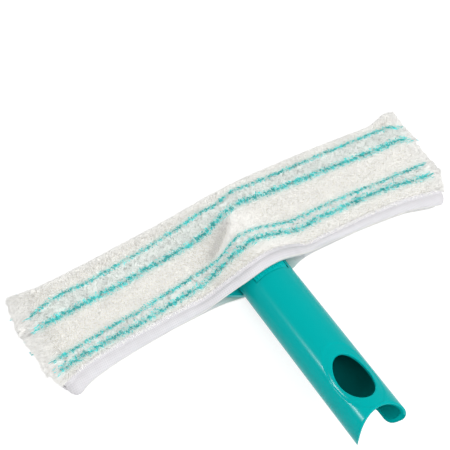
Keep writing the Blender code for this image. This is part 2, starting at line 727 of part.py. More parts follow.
def centre_on_origin(root):
    """Moves the model so that its bounding box stands centred on the origin."""
    bpy.context.view_layer.update()
    graph = bpy.context.evaluated_depsgraph_get()
    reach = []
    for obj in bpy.context.scene.objects:
        if obj.type == "EMPTY" or obj.hide_render:
            continue
        seen = obj.evaluated_get(graph)
        mesh = seen.to_mesh()
        reach += [(seen.matrix_world @ vertex.co).y for vertex in mesh.vertices]
        seen.to_mesh_clear()
    root.location.y = -(min(reach) + max(reach)) / 2


def main():
    clear_scene()
    teal = (0.0, 0.45, 0.44)
    finishes = {
        "tube": material("teal_handle_plastic", teal, 0.3),
        "bar": material("teal_bar_plastic", (0.0, 0.38, 0.38), 0.45),
        "button": material("teal_button_plastic", teal, 0.35),
        "pile": material("cream_microfibre_pile", (0.84, 0.82, 0.78), 0.95),
        "binding": material("white_binding_tape", (0.86, 0.85, 0.9), 0.6),
        "seam": material("white_seam_cloth", (0.8, 0.8, 0.8), 0.9),
        "hook": material("white_hook_tape", (0.75, 0.76, 0.78), 0.7),
        "loop": material("white_loop_tape", (0.82, 0.82, 0.84), 0.9),
        "steel": material("spring_steel", (0.6, 0.6, 0.62), 0.3, 1.0),
    }
    root = empty("washer_frame", (0.0, 0.0, 0.0))
    tilted = empty("handle_axis", (0.0, 0.0, MID_LEVEL), (-HANDLE_ANGLE, 0.0, 0.0), root)
    add_head_bar(finishes, root, tilted)
    add_handle_tube(finishes["tube"], root, tilted)
    add_release_button(finishes, tilted)
    add_cover(finishes, root)
    centre_on_origin(root)


main()
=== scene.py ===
"""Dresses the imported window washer: its pile cover, white tapes and teal plastic handle.

Shapes are computed in millimetres. Their X and Z are the frame's, and their Y starts where
the handle's axis crosses the middle level of the bar.
"""

import math

import bmesh
import bpy
import numpy as np
from mathutils import Matrix, Vector


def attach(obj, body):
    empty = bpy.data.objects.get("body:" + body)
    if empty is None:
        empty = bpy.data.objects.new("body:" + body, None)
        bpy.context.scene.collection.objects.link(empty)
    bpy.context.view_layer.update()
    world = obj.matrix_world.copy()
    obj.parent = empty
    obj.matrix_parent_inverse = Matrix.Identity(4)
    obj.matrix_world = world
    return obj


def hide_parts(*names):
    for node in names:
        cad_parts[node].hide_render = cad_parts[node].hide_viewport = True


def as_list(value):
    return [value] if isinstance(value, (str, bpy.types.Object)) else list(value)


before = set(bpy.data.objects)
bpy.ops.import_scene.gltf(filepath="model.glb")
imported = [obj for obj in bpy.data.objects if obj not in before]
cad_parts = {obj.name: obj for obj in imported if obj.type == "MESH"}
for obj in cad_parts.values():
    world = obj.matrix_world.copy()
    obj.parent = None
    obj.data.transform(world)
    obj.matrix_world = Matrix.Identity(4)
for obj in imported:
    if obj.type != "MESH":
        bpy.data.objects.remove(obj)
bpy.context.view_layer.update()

MM = 0.001
# The frame's Y of that crossing, in metres
CROSSING = 0.0506566

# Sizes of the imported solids, in millimetres
HALF_LENGTH = 145.0
MID_LEVEL = 8.3
COVER_TOP = 16.6
ROLL = 8.0
EDGE_LIFT = 0.75
TUBE_RADIUS = 17.0
BORE_RADIUS = 14.3
TUBE_START = 13.826
TUBE_TIP = 152.0
HANDLE_ANGLE = math.radians(22.0)
SLOPE = math.tan(HANDLE_ANGLE)

# Cloth and pile, in millimetres
PILE_HEIGHT = 1.7
BACK_PILE_HEIGHT = 1.5
PILE_PITCH = 0.53
CLOTH_THICKNESS = 1.0
BACK_CLOTH_THICKNESS = 1.9
# How far in from the mouth the back's pile starts
BACK_TAPE_REACH = 8.7
# How far the stitches lie from the tape's inner edge
HEM = 2.7

WHITE = (1.0, 1.0, 1.0, 1.0)


def deselect():
    bpy.ops.object.select_all(action="DESELECT")


def make_active(obj):
    deselect()
    obj.select_set(True)
    bpy.context.view_layer.objects.active = obj


def smooth_by_angle(obj, degrees):
    make_active(obj)
    bpy.ops.object.shade_smooth_by_angle(angle=math.radians(degrees))


def enter(obj, body, node=None):
    """Puts a piece on its body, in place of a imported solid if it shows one."""
    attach(obj, body)
    if node:
        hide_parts(node)


def unit(vectors):
    return vectors / np.maximum(np.linalg.norm(vectors, axis=-1, keepdims=True), 1e-9)


# Shader nodes


def feed(tree, node, name, value):
    """Sets a node's input to a value, or links it to a socket."""
    if isinstance(value, bpy.types.NodeSocket):
        tree.links.new(value, node.inputs[name])
    else:
        node.inputs[name].default_value = value


def add_node(tree, kind, inputs=None, **settings):
    made = tree.nodes.new("ShaderNode" + kind)
    for name, value in settings.items():
        setattr(made, name, value)
    for name, value in (inputs or {}).items():
        feed(tree, made, name, value)
    return made


def combined(tree, operation, first, second):
    return add_node(tree, "Math", {0: first, 1: second}, operation=operation).outputs[0]


def along_axis(tree, place, axis):
    """How far a place lies along an axis."""
    node = add_node(tree, "VectorMath", {0: place, 1: axis}, operation="DOT_PRODUCT")
    return node.outputs["Value"]


def placed(tree, kind="Object"):
    return add_node(tree, "TexCoord").outputs[kind]


def two_shaders(tree, share, first, second):
    inputs = {0: share, 1: first.outputs[0], 2: second.outputs[0]}
    return add_node(tree, "MixShader", inputs)


# Camera, floor and light


def from_crossing(x, y, z):
    """A place in metres whose Y starts at the crossing, in the scene."""
    return Vector((x, y + CROSSING, z))


def add_camera():
    """The photograph's view: square frame, long lens, from above and from the left."""
    right = Vector((0.85575, -0.47972, 0.19382))
    up = Vector((0.40074, 0.85150, 0.33817))
    back = Vector((-0.32726, -0.21172, 0.92091))
    view = Matrix((right, up, back)).transposed().to_4x4()
    view.translation = from_crossing(-0.25379, -0.14454, 0.71663)
    focal_pixels, picture_pixels, sensor_mm = 1206.9, 450, 36.0
    bpy.ops.object.camera_add()
    camera = bpy.context.object
    camera.name = "photo_camera"
    camera.matrix_world = view
    camera.data.sensor_width = sensor_mm
    camera.data.sensor_fit = "HORIZONTAL"
    camera.data.lens = focal_pixels * sensor_mm / picture_pixels
    camera.data.clip_start = 0.01
    bpy.context.scene.camera = camera


def add_light(name, place, target, size, power):
    bpy.ops.object.light_add(type="AREA", location=place)
    light = bpy.context.object
    light.name = name
    light.data.shape = "RECTANGLE"
    light.data.size, light.data.size_y = size
    light.data.energy = power
    light.rotation_euler = (target - place).to_track_quat("-Z", "Y").to_euler()
    return light


def seen_directly(tree):
    """1 for rays that show a surface to the eye: straight, in gloss or through glass."""
    rays = add_node(tree, "LightPath").outputs
    first = combined(tree, "MAXIMUM", rays["Is Camera Ray"], rays["Is Glossy Ray"])
    return combined(tree, "MAXIMUM", first, rays["Is Transmission Ray"])


def floor_material():
    """A floor that looks white under the part and lights it as a grey one would."""
    made = bpy.data.materials.new("white_studio_floor")
    made.use_nodes = True
    tree = made.node_tree
    tree.nodes.clear()
    lit = add_node(tree, "BsdfDiffuse", {"Color": (0.8, 0.8, 0.8, 1.0)})
    shown = add_node(tree, "BsdfDiffuse", {"Color": (0.34, 0.34, 0.34, 1.0)})
    glow = add_node(tree, "Emission", {"Color": WHITE, "Strength": 0.8})
    both = add_node(tree, "AddShader", {0: shown.outputs[0], 1: glow.outputs[0]})
    mix = two_shaders(tree, seen_directly(tree), lit, both)
    add_node(tree, "OutputMaterial", {"Surface": mix.outputs[0]})
    return made


def studio_in_gloss(tree):
    """How bright the studio's walls look in glossy surfaces: a bright side at the back right."""
    toward = along_axis(tree, placed(tree, "Generated"), (0.72, 0.604, 0.342))
    share = add_node(tree, "MapRange", {"From Min": -1.0, "Value": toward})
    ramp = add_node(tree, "ValToRGB", {"Fac": share.outputs["Result"]})
    stops = ((0.0, 0.1), (0.35, 0.12), (0.55, 0.12), (0.79, 0.08), (0.93, 0.5), (1.0, 1.0))
    elements = ramp.color_ramp.elements
    for index, (spot, level) in enumerate(stops):
        stop = elements[index] if index < 2 else elements.new(spot)
        stop.position = spot
        stop.color = (level, level, level, 1.0)
    return ramp.outputs["Color"]


def light_world():
    world = bpy.data.worlds.new("studio_light")
    bpy.context.scene.world = world
    world.use_nodes = True
    tree = world.node_tree
    tree.nodes.clear()
    soft = add_node(tree, "Background", {"Color": WHITE, "Strength": 0.67})
    seen = add_node(tree, "Background", {"Color": WHITE, "Strength": 1.0})
    plainly = two_shaders(tree, seen_directly(tree), soft, seen)
    gloss = add_node(tree, "Background", {"Strength": studio_in_gloss(tree)})
    glossy = add_node(tree, "LightPath").outputs["Is Glossy Ray"]
    both = two_shaders(tree, glossy, plainly, gloss)
    add_node(tree, "OutputWorld", {"Surface": both.outputs[0]})


def add_studio():
    bpy.ops.mesh.primitive_plane_add(size=6.0)
    floor = bpy.context.object
    floor.name = "studio_floor"
    floor.data.materials.append(floor_material())
    light_world()
    middle = from_crossing(0.0, 0.0, 0.0)
    key = add_light("key_softbox", Vector((0.0, -0.36, 1.2)), middle, (0.7, 0.7), 8.4)
    key.visible_glossy = False
    # The long highlight on the handle mirrors this strip, which lies along its two ends
    near_end = from_crossing(-0.789, 0.455, 0.352)
    far_end = from_crossing(-0.838, 0.367, 0.343)
    shone_on = from_crossing(-0.015, -0.110, 0.055)
    strip = add_light("strip_light", (near_end + far_end) / 2, shone_on, (0.15, 0.1), 5.2)
    back = (strip.location - shone_on).normalized()
    side = (near_end - far_end).cross(back).normalized()
    strip.rotation_euler = Matrix((side, back.cross(side), back)).transposed().to_euler()
    strip.visible_diffuse = False


# Shape of the cover, in millimetres

RUN = np.arange(-170.0, 170.5, 0.5)


def eased(marks, spread=4.0):
    """A smooth curve through marks (X, value), read later with along()."""
    marks = np.array(marks, float)
    raw = np.interp(RUN, marks[:, 0], marks[:, 1])
    reach = np.arange(-3 * spread, 3 * spread + 0.5, 0.5)
    weight = np.exp(-0.5 * (reach / spread) ** 2)
    padded = np.pad(raw, len(reach) // 2, mode="edge")
    return np.convolve(padded, weight / weight.sum(), mode="valid")[: len(RUN)]


def along(curve, x):
    return np.interp(x, RUN, curve)


# Edges, stripes and the tape's width, as marks (X, value) measured in the photograph's view
NEAR_LINE = eased((
    (-150, -40.5), (-140, -38.4), (-131, -35.3), (-124, -34.0), (-118, -33.0), (-110, -31.8),
    (-100, -30.8), (-89, -29.8), (-75, -28.9), (-61, -28.2), (-50, -27.7), (-40, -26.9),
    (-26, -25.3), (-13, -23.9), (-5, -23.0), (6, -22.2), (20, -22.1), (54, -22.8), (68, -23.6),
    (80, -24.0), (90, -24.8), (102, -25.9), (114, -27.0), (133, -31.6), (150, -35),
))
FAR_LINE = eased((
    (-150, 34.2), (-141, 34.0), (-130, 32.6), (-120, 32.6), (-99, 33.3), (-80, 34.4), (-60, 35.7),
    (-40, 36.9), (-20, 38.7), (0, 40.4), (20, 41.3), (40, 41.1), (60, 40.5), (80, 39.9),
    (90, 39.2), (110, 38.3), (120, 37.2), (125, 37.6), (130, 39.5), (134, 40.4), (138, 40.6),
    (144, 40.6), (150, 40),
))
FAR_STRIPE_UPPER = eased((
    (-147, 14), (-131, 19), (-120, 21), (-98, 21), (-54, 25), (-32, 28), (-13, 31.5), (-5, 31),
    (12, 35.5), (27, 34), (59, 33), (93, 32), (120, 31), (131, 30), (142, 25),
), 2.5)
FAR_STRIPE_LOWER = eased((
    (-144, 7), (-134, 9), (-108, 10), (-81, 11), (-60, 13), (-33, 15), (-20, 17), (-7, 22),
    (7, 26), (18, 26), (35, 24), (75, 22), (107, 20), (135, 19), (145, 13),
), 2.5)
NEAR_STRIPE_UPPER = eased((
    (-140, -14), (-121, -12), (-97, -10), (-79, -9), (-28, -3), (-15, 0), (-9, 4), (-1, 7),
    (11, 7), (23, 4), (35, 1), (59, 1), (86, 0), (101, -1), (142, -3),
), 2.5)
NEAR_STRIPE_LOWER = eased((
    (-142, -21), (-123, -18), (-103, -17), (-83, -16), (-34, -11), (-20, -6), (-11, -3), (-1, 0),
    (11, 1), (23, -2), (36, -6), (58, -5), (93, -6), (110, -7), (134, -11), (146, -12),
), 2.5)
BACK_LINE = eased((
    (-150, -34), (-130, -31), (-100, -27.7), (-50, -26.0), (-32, -25.9), (-23, -26.5),
    (-11, -28.4), (5, -28.2), (26, -24.3), (34, -22.5), (43, -21.6), (80, -22.0), (114, -24.8),
    (133, -29.3), (150, -32),
))
BINDING_LINE = eased((
    (-145, 10.4), (-136, 10.8), (-128, 10.8), (-118, 10.6), (-105, 10.2), (-85, 9.6), (-55, 9.4),
    (-35, 8.3), (-10, 8.4), (12, 9.2), (22, 9.4), (30, 8.8), (35.5, 6.0), (39, 6.4), (68, 7.2),
    (93, 8.2), (117, 8.8), (136, 9.8), (145, 10.5),
), 1.5)
# Where the ends lie at each Y: the corners are drawn in
LEFT_END = eased((
    (-45, -134), (-36, -137.5), (-20.6, -144.5), (1, -148), (18.7, -149), (33.4, -147),
    (45, -144),
), 3.0)
RIGHT_END = eased((
    (-45, 134), (-32.7, 138.6), (-22, 145), (-19.9, 146.2), (-10.8, 148), (6.7, 145.5),
    (28.5, 142), (36, 142), (45, 142),
), 3.0)

CORNER_RADIUS = 3.5

# The tent that the neck lifts in the front: the tube's room under it, the cover's own level,
# where it fades out, the Y of the mouth, and its reach to each side there and towards the mouth
TENT_ROOM = 1.6
TENT_LEVEL = 11.6
TENT_FADE = (12.0, 37.8)
TENT_MOUTH = -24.5
TENT_LEFT = (9.0, 44.0)
TENT_RIGHT = (14.0, 34.0)

# The fold left of the neck, from its upper end down
CREASE = ((0.6, 22.3), (-4.1, 17.1), (-8.5, 13.1), (-13.0, 9.0), (-20.2, 4.0), (-26.5, 0.5))

# Centre X and Y, spread in X and Y, and height of the far right corner's lump and of the
# hollow beside it
CORNER_LUMP = (135.5, 34.0, 8.5, 8.0, 3.6)
CORNER_HOLLOW = (122.0, 36.0, 3.0, 6.0, -1.2)


def drawn_in(points):
    """Shifts points near the ends so that the panel's ends follow their lines."""
    x, y = points[..., 0], points[..., 1]
    weight = (np.abs(x) / HALF_LENGTH) ** 5
    shift = np.where(x < 0, along(LEFT_END, y) + HALF_LENGTH, along(RIGHT_END, y) - HALF_LENGTH)
    return np.stack([x + shift * weight, y, points[..., 2]], axis=-1)


def smooth_step(value):
    t = np.clip(value, 0.0, 1.0)
    return t * t * (3 - 2 * t)


def ripple(x, y, pitch, seed):
    """A smooth field from -1 to 1 whose swells are about this pitch apart."""
    lattice = np.random.RandomState(seed).uniform(-1.0, 1.0, (128, 256))
    u = np.asarray(x, float) / pitch + 512.0
    v = np.asarray(y, float) / pitch + 512.0
    i, j = np.floor(u).astype(int), np.floor(v).astype(int)
    a, b = smooth_step(u - i), smooth_step(v - j)
    i0, i1, j0, j1 = i % 256, (i + 1) % 256, j % 128, (j + 1) % 128
    low = lattice[j0, i0] * (1 - a) + lattice[j0, i1] * a
    high = lattice[j1, i0] * (1 - a) + lattice[j1, i1] * a
    return low * (1 - b) + high * b


def corner_cut(x):
    """What a rounded corner takes off a long edge at this X."""
    across = CORNER_RADIUS - np.clip(HALF_LENGTH - np.abs(x), 0.0, CORNER_RADIUS)
    return CORNER_RADIUS - np.sqrt(CORNER_RADIUS**2 - across**2)


def mouth_y(x, front):
    """The Y of a panel's edge at the mouth."""
    return along(NEAR_LINE if front else BACK_LINE, x) + 0.5 * corner_cut(x)


def far_y(x):
    return along(FAR_LINE, x) - corner_cut(x)


def tube_top(y):
    return MID_LEVEL + TUBE_RADIUS / math.cos(HANDLE_ANGLE) - y * SLOPE


def tent(x, y):
    """How far the front panel is lifted over the handle's neck."""
    start, end = TENT_FADE
    peak = np.maximum(tube_top(y) + TENT_ROOM - TENT_LEVEL, 0.0)
    fade = 1 - smooth_step((y - start) / (end - start))
    down = np.clip((end - y) / (end - TENT_MOUTH), 0.0, 1.0)
    crest = -6.0 * smooth_step((y + 24.0) / 30.0)
    left = TENT_LEFT[0] + TENT_LEFT[1] * down
    right = TENT_RIGHT[0] + TENT_RIGHT[1] * down
    t = np.where(x < crest, (crest - x) / left, (x - crest) / right)
    t = np.clip(t, 0.0, 1.0)
    return peak * fade * np.cos(np.pi * t / 2) ** 2


def from_crease(x, y):
    """Distance right of the fold beside the neck, and how fully the fold is there, 0 to 1."""
    marks = np.array(CREASE)
    step = marks[-1] - marks[0]
    length = math.hypot(step[0], step[1])

    def aside(a, b):
        return ((a - marks[0, 0]) * step[1] - (b - marks[0, 1]) * step[0]) / length

    run = ((x - marks[0, 0]) * step[0] + (y - marks[0, 1]) * step[1]) / length
    sums = np.hypot(marks[:, 0] - marks[0, 0], marks[:, 1] - marks[0, 1])
    off = aside(x, y) - np.interp(run, sums, aside(marks[:, 0], marks[:, 1]))
    held = smooth_step((run + 2.0) / 7.0) * smooth_step((length + 2.0 - run) / 9.0)
    return -off, held


def beside_crease(off, left, right):
    """1 on the fold, fading over one distance on its left and another on its right."""
    return np.exp(-((off / np.where(off < 0, left, right)) ** 2))


def rise_at(x, y, centre_x, centre_y, spread_x, spread_y, height):
    return height * np.exp(-(((x - centre_x) / spread_x) ** 2) - ((y - centre_y) / spread_y) ** 2)


def swell(x, y):
    """The unevenness of soft cloth over the bar, its fold, and its far right corner."""
    corner = rise_at(x, y, *CORNER_LUMP) + rise_at(x, y, *CORNER_HOLLOW)
    off, held = from_crease(x, y)
    fold = -1.5 * held * beside_crease(off, 3.2, 1.6)
    return 0.4 * ripple(x, y, 26.0, 3) + 0.25 * ripple(x, y, 11.0, 4) + corner + fold


def sheet_grid(columns, flat_rows, roll_rows):
    """Places across a panel: X, the share of the flat part, and the angles of the rolled edges."""
    quarter = math.pi / 2
    arc = ROLL * quarter
    flat_half = HALF_LENGTH - ROLL
    total = 2 * arc + 2 * flat_half
    a = np.linspace(0.0, total, columns)
    turn = np.clip(np.minimum(a, total - a) / ROLL, 0.0, quarter)
    side = np.where(a < total / 2, -1.0, 1.0)
    flat = np.where(a < arc, 0.0, np.clip(a - arc, 0.0, total - 2 * arc))
    rolled = side * (HALF_LENGTH - ROLL * (1 - np.cos(turn)))
    x = np.where(turn < quarter, rolled, flat - flat_half)
    share = np.concatenate([np.linspace(0.0, 1.0, flat_rows), np.ones(roll_rows)])
    over = np.linspace(quarter, 0.0, roll_rows + 1)[1:]
    return x, turn, share, np.concatenate([np.full(flat_rows, quarter), over])


def panel_surface(x, turn, share, roll, front):
    """Points of a panel's pile surface, an array of columns, rows and three places."""
    xs, turns = x[:, None], turn[:, None]
    shares, rolls = share[None, :], roll[None, :]
    low = mouth_y(xs, front)
    high = far_y(xs) - ROLL
    y = low + (high - low) * shares + ROLL * np.cos(rolls)
    xs = xs + 0 * y
    lift = np.sin(turns) * np.sin(rolls)
    if front:
        z = MID_LEVEL + EDGE_LIFT + (COVER_TOP - MID_LEVEL - EDGE_LIFT) * lift
        z = z + tent(xs, y) + swell(xs, y) * lift
    else:
        z = (MID_LEVEL - EDGE_LIFT) * (1 - lift)
    return drawn_in(np.stack([xs, y, z], axis=-1))


def normals_of(points, front):
    n = unit(np.cross(np.gradient(points, axis=0), np.gradient(points, axis=1)))
    return n if front else -n


# Meshes


def mesh_object(name, points, faces, finish, smooth=True):
    """An object of points in millimetres, from the crossing, and faces of equal size."""
    mesh = bpy.data.meshes.new(name)
    points = np.asarray(points, float).reshape(-1, 3) * MM
    points[:, 1] += CROSSING
    faces = np.asarray(faces, np.int32)
    size = faces.shape[1]
    mesh.vertices.add(len(points))
    mesh.vertices.foreach_set("co", points.astype(np.float32).ravel())
    mesh.loops.add(faces.size)
    mesh.loops.foreach_set("vertex_index", faces.ravel())
    mesh.polygons.add(len(faces))
    mesh.polygons.foreach_set("loop_start", np.arange(0, faces.size, size, dtype=np.int32))
    mesh.update(calc_edges=True)
    mesh.validate()
    obj = bpy.data.objects.new(name, mesh)
    bpy.context.scene.collection.objects.link(obj)
    mesh.materials.append(finish)
    if smooth:
        mesh.shade_smooth()
    return obj


def grid_faces(columns, rows, flip=False):
    i, j = np.meshgrid(np.arange(columns - 1), np.arange(rows - 1), indexing="ij")
    a = (i * rows + j).ravel()
    quads = np.stack([a, a + rows, a + rows + 1, a + 1], axis=-1)
    return quads[:, ::-1] if flip else quads


def closed_shell(name, outer, inner, front, finish):
    """A closed cloth of two faces, joined along its edge."""
    columns, rows = outer.shape[:2]
    count = columns * rows
    top = grid_faces(columns, rows, flip=not front)
    under = grid_faces(columns, rows, flip=front) + count
    border = np.concatenate(
        [
            np.arange(0, columns) * rows,
            (columns - 1) * rows + np.arange(1, rows),
            np.arange(columns - 2, -1, -1) * rows + rows - 1,
            np.arange(rows - 2, 0, -1),
        ]
    )
    following = np.roll(border, -1)
    sides = np.stack([border, border + count, following + count, following], axis=-1)
    if not front:
        sides = sides[:, ::-1]
    points = np.concatenate([outer.reshape(-1, 3), inner.reshape(-1, 3)])
    return mesh_object(name, points, np.concatenate([top, under, sides]), finish)


def taken_apart(obj):
    """A modelled object's points and triangles; the object goes."""
    points = np.array([vertex.co[:] for vertex in obj.data.vertices])
    faces = np.array([face.vertices[:] for face in obj.data.polygons])
    bpy.data.objects.remove(obj)
    return points, faces


def turned_out(mesh, repair=None):
    """Repairs a mesh, turns its faces outwards and counts the edges that stay open."""
    shell = bmesh.new()
    shell.from_mesh(mesh)
    if repair:
        repair(shell)
    bmesh.ops.recalc_face_normals(shell, faces=shell.faces[:])
    shell.to_mesh(mesh)
    open_edges = sum(1 for edge in shell.edges if not edge.is_manifold)
    shell.free()
    return open_edges


def tape(name, grid, finish):
    """Closes rings of points into one tape, with a flat face at each end."""
    columns, rows = grid.shape[:2]
    i, j = np.meshgrid(np.arange(columns - 1), np.arange(rows), indexing="ij")
    a = (i * rows + j).ravel()
    b = (i * rows + (j + 1) % rows).ravel()
    sides = np.stack([a, b, b + rows, a + rows], axis=-1)
    obj = mesh_object(name, grid, sides, finish)

    def close_ends(shell):
        bmesh.ops.holes_fill(shell, edges=[edge for edge in shell.edges if edge.is_boundary])

    turned_out(obj.data, close_ends)
    obj.data.shade_smooth()
    return obj


# Materials


def shader_of(made):
    return made.node_tree.nodes["Principled BSDF"]


def opaque(colour):
    return (*colour, 1.0)


def scaled(colour, factor):
    return tuple(factor * part for part in colour)


def plain(name, colour, roughness, specular=0.5):
    made = bpy.data.materials.new(name)
    made.use_nodes = True
    inputs = shader_of(made).inputs
    inputs["Base Color"].default_value = opaque(colour)
    inputs["Roughness"].default_value = roughness
    inputs["Specular IOR Level"].default_value = specular
    return made


def noise_field(tree, scale, detail=2.0):
    """A cloudy pattern from 0 to 1 fixed to the piece."""
    inputs = {"Scale": scale, "Detail": detail, "Vector": placed(tree)}
    return add_node(tree, "TexNoise", inputs).outputs["Fac"]


def band_field(tree, pitch, direction):
    """Threads side by side, this pitch apart in metres."""
    scale = 2 * math.pi / (20 * pitch)
    inputs = {"Scale": scale, "Distortion": 1.0, "Detail": 1.0, "Vector": placed(tree)}
    return add_node(tree, "TexWave", inputs, bands_direction=direction).outputs["Fac"]


def attribute(tree, name):
    return add_node(tree, "Attribute", attribute_name=name).outputs["Fac"]


def between(tree, share, first, second):
    """A colour between two others."""
    inputs = {"A": first, "B": second, "Factor": share}
    return add_node(tree, "Mix", data_type="RGBA", inputs=inputs).outputs["Result"]


def toned(made, field, dark, light):
    """Colours the piece between two tones, by a pattern."""
    tone = between(made.node_tree, field, opaque(dark), opaque(light))
    feed(made.node_tree, shader_of(made), "Base Color", tone)


def bumped(made, field, strength, distance):
    inputs = {"Strength": strength, "Distance": distance, "Height": field}
    bump = add_node(made.node_tree, "Bump", inputs)
    feed(made.node_tree, shader_of(made), "Normal", bump.outputs["Normal"])


def woven(name, colour, roughness, pitch, depth, sheen=0.0, tones=(0.94, 1.03)):
    """Cloth of crossing threads, a little uneven in tone."""
    made = plain(name, colour, roughness, 0.25)
    tree = made.node_tree
    across, down = band_field(tree, pitch, "X"), band_field(tree, 1.1 * pitch, "Y")
    weave = combined(tree, "MAXIMUM", across, down)
    uneven = combined(tree, "MULTIPLY", weave, noise_field(tree, 120.0))
    toned(made, uneven, scaled(colour, tones[0]), scaled(colour, tones[1]))
    bumped(made, weave, depth, 0.00015)
    shader_of(made).inputs["Sheen Weight"].default_value = sheen
    return made


def teal_plastic(name, colour, roughness=0.18, specular=0.06, grain=0.004):
    """Moulded plastic with a faint unevenness."""
    made = plain(name, colour, roughness, specular)
    clouds = noise_field(made.node_tree, 45.0, 3.0)
    toned(made, clouds, scaled(colour, 0.97), scaled(colour, 1.03))
    bumped(made, clouds, grain, 0.0003)
    return made


def bore_plastic_painted_shade(colour, dark):
    """The same plastic inside the tube with painted shade: darker than the outside, and darker the
    further in it lies.
    """
    made = plain("teal_plastic_bore_painted_shade", colour, 0.6, 0.0)
    tree = made.node_tree
    cos, sin = math.cos(HANDLE_ANGLE), math.sin(HANDLE_ANGLE)
    inward = along_axis(tree, placed(tree), (0.0, -cos, sin))
    offset = -CROSSING * cos + MID_LEVEL * MM * sin
    inputs = {"From Min": 0.120 + offset, "From Max": 0.146 + offset, "Value": inward}
    toned(made, add_node(tree, "MapRange", inputs).outputs["Result"], dark, colour)
    bumped(made, noise_field(tree, 300.0), 0.05, 0.0002)
    return made


def spring_steel():
    made = plain("spring_steel", (0.62, 0.62, 0.6), 0.28)
    shader_of(made).inputs["Metallic"].default_value = 1.0
    streaks = noise_field(made.node_tree, 900.0, 4.0)
    toned(made, streaks, (0.5, 0.5, 0.49), (0.7, 0.7, 0.68))
    bumped(made, streaks, 0.15, 0.00005)
    return made


def strand_material(name, root, tip, roughness=0.9, glow=0.3, stain=None):
    """Pile yarn: darker at the root as painted shade, with each tuft a little lighter or darker,
    and a faint painted glow.
    """
    made = plain(name, root, roughness, 0.1)
    tree, shader = made.node_tree, shader_of(made)
    colour = between(tree, attribute(tree, "rise"), opaque(root), opaque(tip))
    if stain:
        colour = between(tree, attribute(tree, "tint"), colour, opaque(stain))
    inputs = {"Color": colour, "Value": attribute(tree, "shade")}
    tone = add_node(tree, "HueSaturation", inputs).outputs["Color"]
    feed(tree, shader, "Base Color", tone)
    feed(tree, shader, "Emission Color", tone)
    # Painted light: the yarn glows faintly, in place of light scattered through the pile
    shader.inputs["Emission Strength"].default_value = glow
    through = add_node(tree, "BsdfTranslucent", {"Color": tone})
    mix = two_shaders(tree, 0.35, shader, through)
    feed(tree, tree.nodes["Material Output"], "Surface", mix.outputs[0])
    return made


def tape_with_painted_neck_shade(satin):
    """The back's tape with painted shade near the handle's neck: a painted shadow tinted teal,
    standing in for light reflected from the plastic.
    """
    made = satin.copy()
    made.name = "satin_tape_painted_neck_shade"
    tree, shader = made.node_tree, shader_of(made)
    weave = shader.inputs["Base Color"].links[0].from_socket
    neck = (0.0, CROSSING - 0.030, 0.006)
    away = add_node(tree, "VectorMath", {0: placed(tree), 1: neck}, operation="DISTANCE")
    inputs = {"From Min": 0.018, "From Max": 0.040, "To Min": 1.0, "To Max": 0.0}
    near = add_node(tree, "MapRange", {**inputs, "Value": away.outputs["Value"]})
    # Painted shade and painted teal reflection: the tape turns to this darker teal-grey near the
    # neck
    teal = opaque((0.28, 0.46, 0.42))
    feed(tree, shader, "Base Color", between(tree, near.outputs["Result"], weave, teal))
    return made


# Bindings


def fold_profile(width, front):
    """Cross-section of the folded tape: pairs of distance in from the mouth and height.

    Heights are over the panel; those below a millimetre stretch with its thickness."""
    low = -5.0 if front else -4.8
    k = min(1.0, width / 9.0)
    out = [
        (width + 0.3, -2.1), (width + 0.25, -1.6), (width - 0.1 * k, -1.15),
        (width - 0.8 * k, -0.95), (width - 1.6 * k, -0.95), (width - 2.2 * k, -1.08),
        (width - HEM * k, -1.3), (width - 3.2 * k, -1.05), (width - 3.9 * k, -0.55),
        (width * 0.5, -0.12), (width * 0.38, 0.08), (width * 0.26, 0.0), (width * 0.17, -0.3),
        (width * 0.09, -0.85), (0.4, -1.4), (0.12, -1.95), (0.0, -2.7), (0.12, -3.4),
        (0.5, -4.1), (1.1, -4.6), (1.9, low + 0.1), (3.2, low), (6.0, low), (9.0, low),
    ]
    back = [
        (9.0, low + 0.8), (6.0, low + 0.8), (3.2, low + 0.8), (2.1, low + 1.1), (1.3, -3.3),
        (1.0, -2.6), (1.3, -1.9), (2.2, -1.35), (4.0, -1.3), (width - 2.4, -1.8),
        (width - 1.1, -2.15),
    ]
    return np.array(out + back)


def tape_width(x, front):
    return along(BINDING_LINE, x) if front else np.full(len(x), 9.0)


def on_panel(front, columns):
    """Places along the mouth, and a function that gives the point at a distance in and a height."""
    x, turn, _, _ = sheet_grid(columns, 4, 2)
    near = mouth_y(x, front)
    length = far_y(x) - ROLL - near
    steps, reach = 40, 0.4
    shares = np.linspace(0.0, reach, steps)
    surface = panel_surface(x, turn, shares, np.full(steps, math.pi / 2), front)
    normal = normals_of(surface, front)

    def point(column, d, h):
        place = np.clip(d / length[column], 0.0, reach) / reach * (steps - 1)
        low = np.minimum(place.astype(int), steps - 2)
        part = (place - low)[:, None]
        base = surface[column, low] * (1 - part) + surface[column, low + 1] * part
        n = normal[column, low] * (1 - part) + normal[column, low + 1] * part
        return base + n * h[:, None]

    return x, turn, point


def binding_grid(front, columns=360):
    """Points of the folded tape: columns along the mouth, rows round the cross-section."""
    x, turn, point = on_panel(front, columns)
    width = tape_width(x, front)
    rows = []
    for column in range(columns):
        profile = fold_profile(width[column], front)
        d, h = profile[:, 0], profile[:, 1]
        a = x[column]
        if front:
            crease = math.exp(-(((a - 36.3) / 1.3) ** 2))
            h = h - crease * 0.6 * np.clip(d / 6, 0, 1)
        here = a + 0 * d
        pucker = 0.2 * ripple(here, 0.7 * d, 7.0, 41) + 0.12 * ripple(here, d, 2.6, 42)
        h = h + pucker * np.clip((h + 2.6) / 2.0, 0.0, 1.0)
        h = np.where(h < -1.0, -1.0 + (h + 1.0) * (0.2 + 0.8 * math.sin(turn[column])), h)
        if not front:
            h = np.minimum(h, -0.05)
        rows.append(point(column, d, h))
    return np.array(rows)


